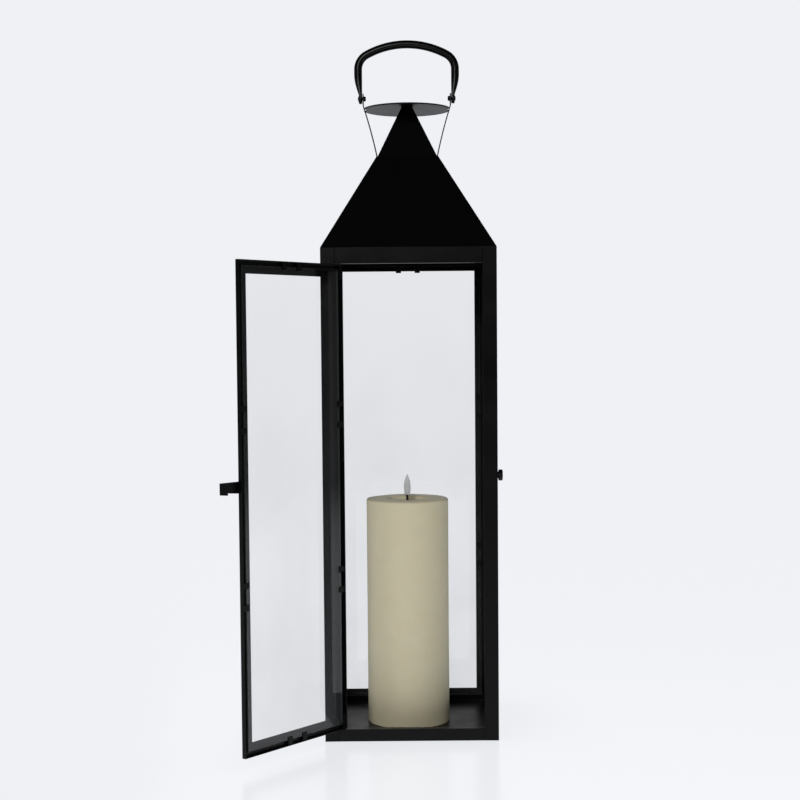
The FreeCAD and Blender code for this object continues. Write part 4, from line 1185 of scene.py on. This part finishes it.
# ---- Candle ----
@dataclass
class Candle:
    """Wax shell over a moulded core, with two cells under a twist-off cover."""

    rim_radius: float = 2.2
    pool_radius: float = 18.5
    pool_depth: float = 3.4
    pool_edge: float = 2.4
    hole_radius: float = 4.6
    socket_radius: float = 9.05
    socket_depth: float = 9.0
    core_radius: float = 32.5
    sway: float = 0.4               # how far the poured wax strays from true
    wire_radius: float = 0.35
    contact_radii: tuple[float, float] = (2.6, 5.2)     # spring's outside at its foot and top
    contact_turns: float = 4.0
    bridge_radii: tuple[float, float] = (3.2, 1.6)
    bridge_turns: float = 1.6
    bridge_sheet: float = 0.5
    band_start: float = 0.7         # share of a cell's length below its second colour
    sides: int = 128

    def build(self) -> None:
        """Build the wax, the core and everything low in it."""
        self.build_wax()
        eased_copy("candle_core", IVORY_PLASTIC, 0.3)
        eased_copy("battery_cover", IVORY_PLASTIC, 0.3, 3)
        self.build_battery("battery_left", nub_up=True)
        self.build_battery("battery_right", nub_up=False)
        self.build_contacts()
        self.build_bridge()
        self.build_switch()

    def build_wax(self) -> None:
        """Poured pillar with a soft rim and a shallow, slightly uneven melt pool."""
        span = Span.of("wax_pillar")
        radius = span.size.x / 2
        low, high = span.low.z, span.high.z
        floor = high - self.pool_depth
        core_top = Span.of("candle_core").high.z
        side = [(radius, low + (high - low) * share, 0.0) for share in (0.2, 0.4, 0.6, 0.8)]
        corners = [(radius, low, 0.5), *side, (radius, high, self.rim_radius),
                   ((radius + self.pool_radius) / 2, high, 0.0),
                   (self.pool_radius, high, self.pool_edge), (self.pool_radius, floor, 1.0),
                   (self.hole_radius, floor, 0.4), (self.hole_radius, core_top + self.socket_depth, 0),
                   (self.socket_radius, core_top + self.socket_depth, 0),
                   (self.socket_radius, core_top, 0), (self.core_radius, core_top, 0),
                   (self.core_radius, low, 0.3)]

        def sway(point: Vector) -> Vector:
            """Let the wax stray inwards and down a little, never past its true size.

            Args:
                point: A point of the true shape.

            Returns:
                The point, moved.
            """
            reach = math.hypot(point.x, point.y)
            turn_there = math.atan2(point.y, point.x)
            wave = 0.5 + 0.27 * math.sin(3 * turn_there + 0.7) + 0.23 * math.sin(5 * turn_there + 2.1)
            if reach > self.core_radius + 1 and low + 1 < point.z:
                rise = (point.z - low) / (high - low)
                shrink = self.sway * 0.5 * wave * math.sin(math.pi * rise) ** 2
                point.x -= point.x / reach * shrink
                point.y -= point.y / reach * shrink
            if point.z > high - 1.5 and reach > self.pool_radius - 0.5:
                point.z -= self.sway * wave
            if self.hole_radius + 2 < reach < self.pool_radius + 4 and point.z > floor - 0.5:
                drift = 1 + 0.045 * (wave - 0.5)
                point.x *= drift
                point.y *= drift
            return point

        shape = Shape()
        shape.turn(eased(corners, steps=8), span.upright, self.sides, closed=True, shift=sway)
        shape.finish("wax_pillar_poured", "wax_pillar", [WAX])

    def build_battery(self, node: str, nub_up: bool) -> None:
        """Cell in a printed sleeve: a crimped shoulder, a nub at one end and a plain cap.

        Args:
            node: The CAD battery that it stands for.
            nub_up: Whether the nub is at the top.
        """
        span = Span.of(node)
        length = span.size.z
        radius = span.size.x / 2
        shoulder = length - 1.5
        corners = [(0, 0.35, 0), (8.2, 0.35, 0.1), (8.6, 0, 0.2), (radius - 1.4, 0, 0.2),
                   (radius - 1.0, 0.3, 0.1), (radius - 0.45, 0, 0.2), (radius, 0.6, 0.4),
                   (radius, length * self.band_start, 0), (radius, shoulder - 0.6, 0.4),
                   (radius - 0.7, shoulder, 0.3), (radius - 1.6, shoulder - 0.3, 0.2),
                   (radius - 2.2, shoulder, 0.2), (3.8, shoulder, 0.2), (3.2, shoulder + 0.2, 0.1),
                   (3.2, length, 0.3), (0, length, 0)]
        flip = Matrix.Identity(4) if nub_up else Matrix.Rotation(math.pi, 4, "X")
        start = span.low.z if nub_up else span.high.z
        at = Matrix.Translation(Vector((span.middle.x, span.middle.y, start))) @ flip
        shape = Shape()
        shape.turn(eased(corners, closed=False, steps=3), at, sides=56)
        back = at.inverted()
        for face in shape.mesh.faces:
            place = back @ face.calc_center_median()
            reach = math.hypot(place.x, place.y)
            if reach < radius - 1.2:
                face.material_index = 2
            elif place.z > length * self.band_start:
                face.material_index = 1
        shape.finish(node + "_sleeved", node, [SLEEVE, SLEEVE_BAND, NICKEL])

    def spring(self, shape: Shape, place: Vector, top: float, radii: tuple[float, float],
               turns: float) -> None:
        """Add a conical coil spring.

        Args:
            shape: The shape that it is added to.
            place: The middle of its foot.
            top: Height of its other end.
            radii: Coil's outside radius at the foot and at the top.
            turns: Number of turns.
        """
        wire = self.wire_radius
        count = round(turns * SPRING_STEPS)
        path = []
        for step in range(count + 1):
            share = step / count
            level = min(1.0, max(0.0, (share - 0.12) / 0.76))
            angle = FULL_TURN * turns * share
            radius = radii[0] + (radii[1] - radii[0]) * share - wire
            height = place.z + wire + (top - place.z - 2 * wire) * level
            path.append(Vector((place.x + radius * math.cos(angle),
                                place.y + radius * math.sin(angle), height)))
        shape.wire(path, wire)

    def build_contacts(self) -> None:
        """Two coil springs that press on the cells' upper ends."""
        span = Span.of("battery_contacts")
        shape = Shape()
        for node in ("battery_left", "battery_right"):
            middle = Span.of(node).middle
            foot = Vector((middle.x, middle.y, span.low.z))
            self.spring(shape, foot, span.high.z, self.contact_radii, self.contact_turns)
        shape.finish("battery_contacts_coiled", "battery_contacts", [NICKEL])

    def build_bridge(self) -> None:
        """Strip in the cover that joins the two cells, with a coil spring under each."""
        span = Span.of("bridge_contact")
        face = span.low.z + self.bridge_sheet
        top = Vector((span.high.x, span.high.y, face))
        shape = Shape()
        shape.block(span.low, top)
        shape.ease(0.1, 1)
        for node in ("battery_left", "battery_right"):
            middle = Span.of(node).middle
            foot = Vector((middle.x, middle.y, face))
            self.spring(shape, foot, span.high.z, self.bridge_radii, self.bridge_turns)
        shape.finish("bridge_contact_sprung", "bridge_contact", [NICKEL])

    def build_switch(self) -> None:
        """Slide switch's case, and its slider with ridges for a fingernail."""
        eased_copy("switch_body", BLACK_PLASTIC, 0.25)
        span = Span.of("switch_slider")
        low, high = span.low, span.high
        count = 5
        margin = 0.4
        valley = low.z + 0.35
        ridged = span.size.x - 2 * margin
        width = ridged / count
        outline = [(low.x, high.z), (low.x, valley)]
        for step in range(count):
            start = low.x + margin + ridged * step / count
            outline += [(start, valley), (start + width / 2, low.z)]
        outline += [(high.x - margin, valley), (high.x, valley), (high.x, high.z)]
        shape = Shape()
        shape.skin([[Vector((x, y, z)) for x, z in outline] for y in (low.y, high.y)])
        shape.finish("switch_slider_ridged", "switch_slider", [BLACK_PLASTIC])


@dataclass
class Drive:
    """Circuit board, the coil that rocks the flame, and the lamp that lights it."""

    windings: int = 9
    winding_inset: float = 0.35     # in from the flanges' rim
    flange: float = 0.7
    bore: float = 3.4
    lamp_flange: float = 0.12       # how far the flange stands out past the barrel
    lamp_flange_depth: float = 0.8

    def build(self) -> None:
        """Build the board and the flame's drive."""
        eased_copy("circuit_board", BOARD, 0.12, 1)
        self.build_board_parts()
        eased_copy("flame_module", BLACK_PLASTIC, 0.25)
        self.build_coil()
        self.build_lamp()
        dress_node("pivot_wire", NICKEL)

    def build_board_parts(self) -> None:
        """Controller, resistors and a can capacitor soldered to the board."""
        board = Span.of("circuit_board")
        top = board.high.z
        at = board.middle
        shape = Shape()
        chip = Vector((6.4, 5.0, 1.5))
        chip_low = Vector((at.x - chip.x / 2, at.y - chip.y / 2, top + 0.1))
        shape.block(chip_low, chip_low + chip)
        lead_half, lead_reach, lead_height, lead_pitch = 0.25, 1.1, 0.35, 1.6
        for step in range(4):
            offset = lead_pitch * (step - 1.5)
            for side in (-1, 1):
                inner, outer = sorted((side * chip.y / 2, side * (chip.y / 2 + lead_reach)))
                shape.block(Vector((at.x + offset - lead_half, at.y + inner, top)),
                            Vector((at.x + offset + lead_half, at.y + outer, top + lead_height)), shade=1)
        resistor = Vector((2.6, 1.3, 0.6))
        cap = Vector((0.35, 1.3, 0.62))
        for x, y in ((-11, 4), (-11, -3), (9, 7), (4, -11)):
            place = Vector((at.x + x, at.y + y, top))
            shape.block(place, place + resistor)
            for end in (-cap.x, resistor.x):
                corner = place + Vector((end, 0, 0))
                shape.block(corner, corner + cap, shade=1)
        can = Matrix.Translation(Vector((at.x + 12, at.y - 3, top)))
        can_radius, can_height = 2.5, 6.0
        corners = [(0, 0, 0), (can_radius, 0, 0.1), (can_radius, 1.0, 0.1), (can_radius - 0.2, 1.3, 0.2),
                   (can_radius, 1.6, 0.1), (can_radius, can_height, 0.4), (0, can_height, 0)]
        shape.turn(eased(corners, closed=False, steps=3), can, sides=28, shade=1)
        shape.finish("board_parts", "circuit_board", [CHIP_RESIN, TIN_SOLDER], replaces=False)

    def build_coil(self) -> None:
        """Bobbin with its winding."""
        span = Span.of("drive_coil")
        low, high = span.low.z, span.high.z
        outer, inner = span.size.x / 2, self.bore
        wound = outer - self.winding_inset
        pitch = (high - low - 2 * self.flange) / self.windings
        outline: Outline = [(inner, low), (outer, low), (outer, low + self.flange)]
        for turn in range(self.windings):
            for step in range(5):
                angle = math.pi * step / 4
                height = low + self.flange + pitch * (turn + 0.5 - math.cos(angle) / 2)
                outline.append((wound - pitch * 0.5 * (1 - math.sin(angle)), height))
        outline += [(outer, high - self.flange), (outer, high), (inner, high)]
        at = span.upright
        shape = Shape()
        shape.turn(outline, at, sides=56, closed=True)
        for face in shape.mesh.faces:
            place = at.inverted() @ face.calc_center_median()
            in_winding = low + self.flange < place.z < high - self.flange
            is_outside = math.hypot(place.x, place.y) > inner + 1
            face.material_index = 0 if in_winding and is_outside else 1
        shape.finish("drive_coil_wound", "drive_coil", [COPPER_WIRE, BLACK_PLASTIC])

    def build_lamp(self) -> None:
        """Small lamp with a domed end and a flange."""
        span = Span.of("flame_led")
        low, high = span.low.z, span.high.z
        radius = span.size.x / 2
        barrel = radius - self.lamp_flange
        rim = low + self.lamp_flange_depth
        outline: Outline = [(0, low), (radius, low), (radius, rim), (barrel, rim)]
        steps = 8
        for step in range(steps + 1):
            angle = math.pi / 2 * step / steps
            outline.append((barrel * math.cos(angle), high - barrel + barrel * math.sin(angle)))
        shape = Shape()
        shape.turn(outline, span.upright, sides=28)
        shape.finish("flame_led_domed", "flame_led", [LAMP_EPOXY])


@dataclass
class Flame:
    """Frosted flame that rocks on a wire, with a black wick and a magnet at its foot."""

    foot_half: float = 2.3
    bulge: float = 0.42             # share of the height at which it is widest
    tip_half: float = 0.14
    twist_degrees: float = 6.0
    wick_radius: float = 1.05
    rings: int = 26
    blade_sides: int = 20
    wick_sides: int = 24
    wick_lobe: float = 0.1          # how far each of three strands stands out
    wick_turn: float = 5.5          # radians that the strands turn

    def build(self) -> None:
        """Build the blade, the stem, the wick round it and the magnet."""
        self.build_blade()
        eased_copy("flame_wick", BLACK_PLASTIC, 0.22)
        self.build_wick()
        dress_node("flame_magnet", MAGNET)

    def half_width(self, share: float, widest: float) -> float:
        """Work out half the blade's width.

        Args:
            share: Share of the blade's height.
            widest: Half its greatest width.

        Returns:
            Half the width there.
        """
        if share < self.bulge:
            return self.foot_half + (widest - self.foot_half) * math.sin(math.pi / 2 * share / self.bulge)
        fall = (share - self.bulge) / (1 - self.bulge)
        return max(self.tip_half, widest * (1 - fall ** 1.8) ** 0.95)

    def build_blade(self) -> None:
        """Teardrop with a lens-shaped section and a slight twist."""
        span = Span.of("flame_blade")
        widest = span.size.x / 2
        thick = span.size.y / 2
        rings = []
        for step in range(self.rings + 1):
            share = step / self.rings
            half = self.half_width(share, widest)
            depth = thick * (0.35 + 0.6 * half / widest)
            twist = math.radians(self.twist_degrees) * share
            height = span.low.z + span.size.z * share
            ring = []
            for cosine, sine in round_turn(self.blade_sides):
                across = half * cosine
                out = depth * math.copysign(abs(sine) ** 1.3, sine)
                ring.append(Vector((span.middle.x + across * math.cos(twist) - out * math.sin(twist),
                                    span.middle.y + across * math.sin(twist) + out * math.cos(twist),
                                    height)))
            rings.append(ring)
        shape = Shape()
        shape.skin(rings)
        shape.finish("flame_blade_moulded", "flame_blade", [FLAME_FILM])

    def build_wick(self) -> None:
        """Short twisted wick moulded round the stem's upper end."""
        blade = Span.of("flame_blade")
        low = Span.of("flame_module").high.z + 0.5
        rings = []
        steps = 22
        for step in range(steps + 1):
            share = step / steps
            height = low + (blade.low.z + 0.6 - low) * share
            fade = 0.8 if step in (0, steps) else 1.0
            ring = []
            for turn in range(self.wick_sides):
                angle = FULL_TURN * turn / self.wick_sides
                lobe = 1 + self.wick_lobe * math.cos(3 * angle + self.wick_turn * share)
                reach = self.wick_radius * lobe * fade
                ring.append(Vector((blade.middle.x + reach * math.cos(angle),
                                    blade.middle.y + reach * math.sin(angle), height)))
            rings.append(ring)
        shape = Shape()
        shape.skin(rings)
        shape.finish("wick_braided", "flame_wick", [BLACK_PLASTIC], replaces=False)


# ---- Studio ----
class Panel(Enum):
    """Soft lights: place, target, width and height in metres, and watts."""

    KEY = ((-0.45, -2.15, 1.35), (0.0, 0.0, 0.25), (0.9, 0.8), 21.0)
    LEFT_STRIP = ((-1.6, -0.9, 0.8), (0.0, 0.0, 0.35), (0.5, 1.3), 1.2)
    RIGHT_STRIP = ((1.6, -1.0, 0.8), (0.0, 0.0, 0.35), (0.5, 1.3), 0.7)
    REAR = ((0.3, 1.9, 1.3), (0.0, 0.0, 0.3), (1.9, 1.7), 4.0)


@dataclass
class Studio:
    """Pale floor and backdrop, soft lights and the camera."""

    backdrop: str = "#EFF1F5"
    lens: float = 68.988
    shift: float = 0.04
    location: tuple[float, float, float] = (-0.006093, -1.403604, 0.347695)
    yaw: float = -0.00181
    pitch_down: float = 0.057168
    roll: float = -0.008351
    dome_radius: float = 4.0
    floor_radius: float = 3.0
    floor_gloss: float = 0.13
    floor_roughness: float = 0.2
    painted_shadow_reach: float = 0.12       # metres over which the painted shadow darkens the floor towards the lantern
    # glow strength of the floor where fully hemmed in and where open: the depth of the painted shadow
    painted_shadow_range: tuple[float, float] = (0.92, 1.09)
    fade_range: tuple[float, float] = (1.0, 2.6)        # metres over which the floor fades out
    room_light: tuple[float, float] = (0.05, 0.42)      # strength in front and behind
    overhead_light: tuple[float, float] = (1.0, 0.35)   # share of it level and overhead

    def build(self) -> None:
        """Build everything round the lantern."""
        bpy.context.scene.view_settings.view_transform = "Standard"
        self.build_camera()
        self.build_dome()
        self.build_floor()
        self.build_world()
        for panel in Panel:
            self.build_panel(panel)

    def build_camera(self) -> None:
        """Camera a little above the middle of the body, nearly square to its front."""
        level = Vector((math.sin(self.yaw), math.cos(self.yaw), 0))
        ahead = level * math.cos(self.pitch_down) - Vector((0, 0, math.sin(self.pitch_down)))
        flat_right = Vector((math.cos(self.yaw), -math.sin(self.yaw), 0))
        flat_up = flat_right.cross(ahead)
        right = flat_right * math.cos(self.roll) + flat_up * math.sin(self.roll)
        up = flat_up * math.cos(self.roll) - flat_right * math.sin(self.roll)
        data = bpy.data.cameras.new("camera")
        data.lens = self.lens
        data.sensor_width = 36.0
        data.shift_y = self.shift
        data.clip_end = 20.0
        columns = Matrix((right, up, -ahead)).transposed()
        camera = self.stage_item("camera", data)
        camera.matrix_world = Matrix.Translation(Vector(self.location)) @ columns.to_4x4()
        bpy.context.scene.camera = camera

    def build_dome(self) -> None:
        """Backdrop that only the camera sees."""
        shape = bmesh.new()
        bmesh.ops.create_uvsphere(shape, u_segments=48, v_segments=24, radius=self.dome_radius)
        material = blank_material("backdrop_paper")
        dome = self.stage_mesh("backdrop", shape, material)
        dome.visible_diffuse = False
        dome.visible_glossy = False
        dome.visible_transmission = False
        dome.visible_shadow = False
        tree = material.node_tree
        glow = add_node(tree, "ShaderNodeEmission", {"Color": linear(self.backdrop), "Strength": 1.0})
        add_node(tree, "ShaderNodeOutputMaterial", {"Surface": glow.outputs[0]})

    def build_floor(self) -> None:
        """Pale glowing satin floor: a painted shadow under the lantern, from ambient occlusion, and a faint
        reflection of it.
        """
        shape = bmesh.new()
        bmesh.ops.create_circle(shape, cap_ends=True, segments=96, radius=self.floor_radius)
        material = blank_material("floor_satin_acrylic_painted_shadow")
        self.stage_mesh("floor", shape, material)
        tree = material.node_tree
        # The floor's glow is dimmed by ambient occlusion near the lantern: a painted shadow, not one cast by the
        # lights.
        shade = add_node(tree, "ShaderNodeAmbientOcclusion", {"Color": WHITE, "Distance": self.painted_shadow_reach},
                         samples=8)
        glow = add_node(tree, "ShaderNodeEmission",
                        {"Color": linear(self.backdrop),
                         "Strength": remap(tree, shade.outputs["AO"], (0.0, 1.0), self.painted_shadow_range)})
        gloss = add_node(tree, "ShaderNodeBsdfGlossy", {"Color": WHITE, "Roughness": self.floor_roughness})
        satin = layered(tree, self.floor_gloss, glow.outputs[0], gloss.outputs[0])
        reach = add_node(tree, "ShaderNodeVectorMath", {0: own_place(tree)}, operation="LENGTH")
        fade = remap(tree, reach.outputs["Value"], self.fade_range, interpolation_type="SMOOTHSTEP")
        below = add_node(tree, "ShaderNodeNewGeometry").outputs["Backfacing"]
        clear = add_node(tree, "ShaderNodeBsdfTransparent").outputs[0]
        whole = layered(tree, combine(tree, "MAXIMUM", fade, below), satin, clear)
        add_node(tree, "ShaderNodeOutputMaterial", {"Surface": whole})

    def build_world(self) -> None:
        """Room light that enamel and glass mirror: brighter behind the lantern than in front."""
        world = bpy.data.worlds.new("studio")
        world.use_nodes = True
        bpy.context.scene.world = world
        tree = world.node_tree
        tree.nodes.clear()
        way = add_node(tree, "ShaderNodeSeparateXYZ",
                       {0: add_node(tree, "ShaderNodeTexCoord").outputs["Generated"]})
        behind = remap(tree, way.outputs["Y"], (-0.3, 0.95), self.room_light,
                       interpolation_type="SMOOTHSTEP")
        overhead = remap(tree, way.outputs["Z"], (0.1, 0.95), self.overhead_light,
                         interpolation_type="SMOOTHSTEP")
        sky = add_node(tree, "ShaderNodeBackground",
                       {"Color": linear(self.backdrop),
                        "Strength": combine(tree, "MULTIPLY", behind, overhead)})
        add_node(tree, "ShaderNodeOutputWorld", {"Surface": sky.outputs[0]})

    def build_panel(self, panel: Panel) -> None:
        """Add one soft light.

        Args:
            panel: The light.
        """
        place, target, (width, height), watts = panel.value
        data = bpy.data.lights.new(panel.name.lower(), "AREA")
        data.shape = "RECTANGLE"
        data.size = width
        data.size_y = height
        data.energy = watts
        aim = Vector(target) - Vector(place)
        lamp = self.stage_item(panel.name.lower(), data)
        lamp.matrix_world = (Matrix.Translation(Vector(place))
                             @ aim.to_track_quat("-Z", "Y").to_matrix().to_4x4())
        lamp.visible_camera = False

    def stage_mesh(self, name: str, shape: bmesh.types.BMesh,
                   material: bpy.types.Material) -> bpy.types.Object:
        """Turn a shape in metres into an object that is no piece of the lantern.

        Args:
            name: The object's name.
            shape: The shape, which is used up.
            material: Its material.

        Returns:
            The new object.
        """
        data = bpy.data.meshes.new(name)
        shape.to_mesh(data)
        shape.free()
        data.materials.append(material)
        return self.stage_item(name, data)

    def stage_item(self, name: str, data: bpy.types.ID) -> bpy.types.Object:
        """Add an object that is no piece of the lantern.

        Args:
            name: The object's name.
            data: Its mesh, light or camera.

        Returns:
            The new object.
        """
        item = bpy.data.objects.new(name, data)
        bpy.context.scene.collection.objects.link(item)
        return item


def main() -> None:
    """Build the lantern and its studio, and report each piece."""
    logging.basicConfig(level=logging.INFO, format="%(message)s")
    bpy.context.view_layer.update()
    assemblies = (Carcass(), Glazing(), Roof(), Shield(), Hanger(), Door(), Latch(), Candle(),
                  Drive(), Flame(), Studio())
    for assembly in assemblies:
        LOG.info("%s", type(assembly).__name__)
        assembly.build()


if __name__ == "__main__":
    main()
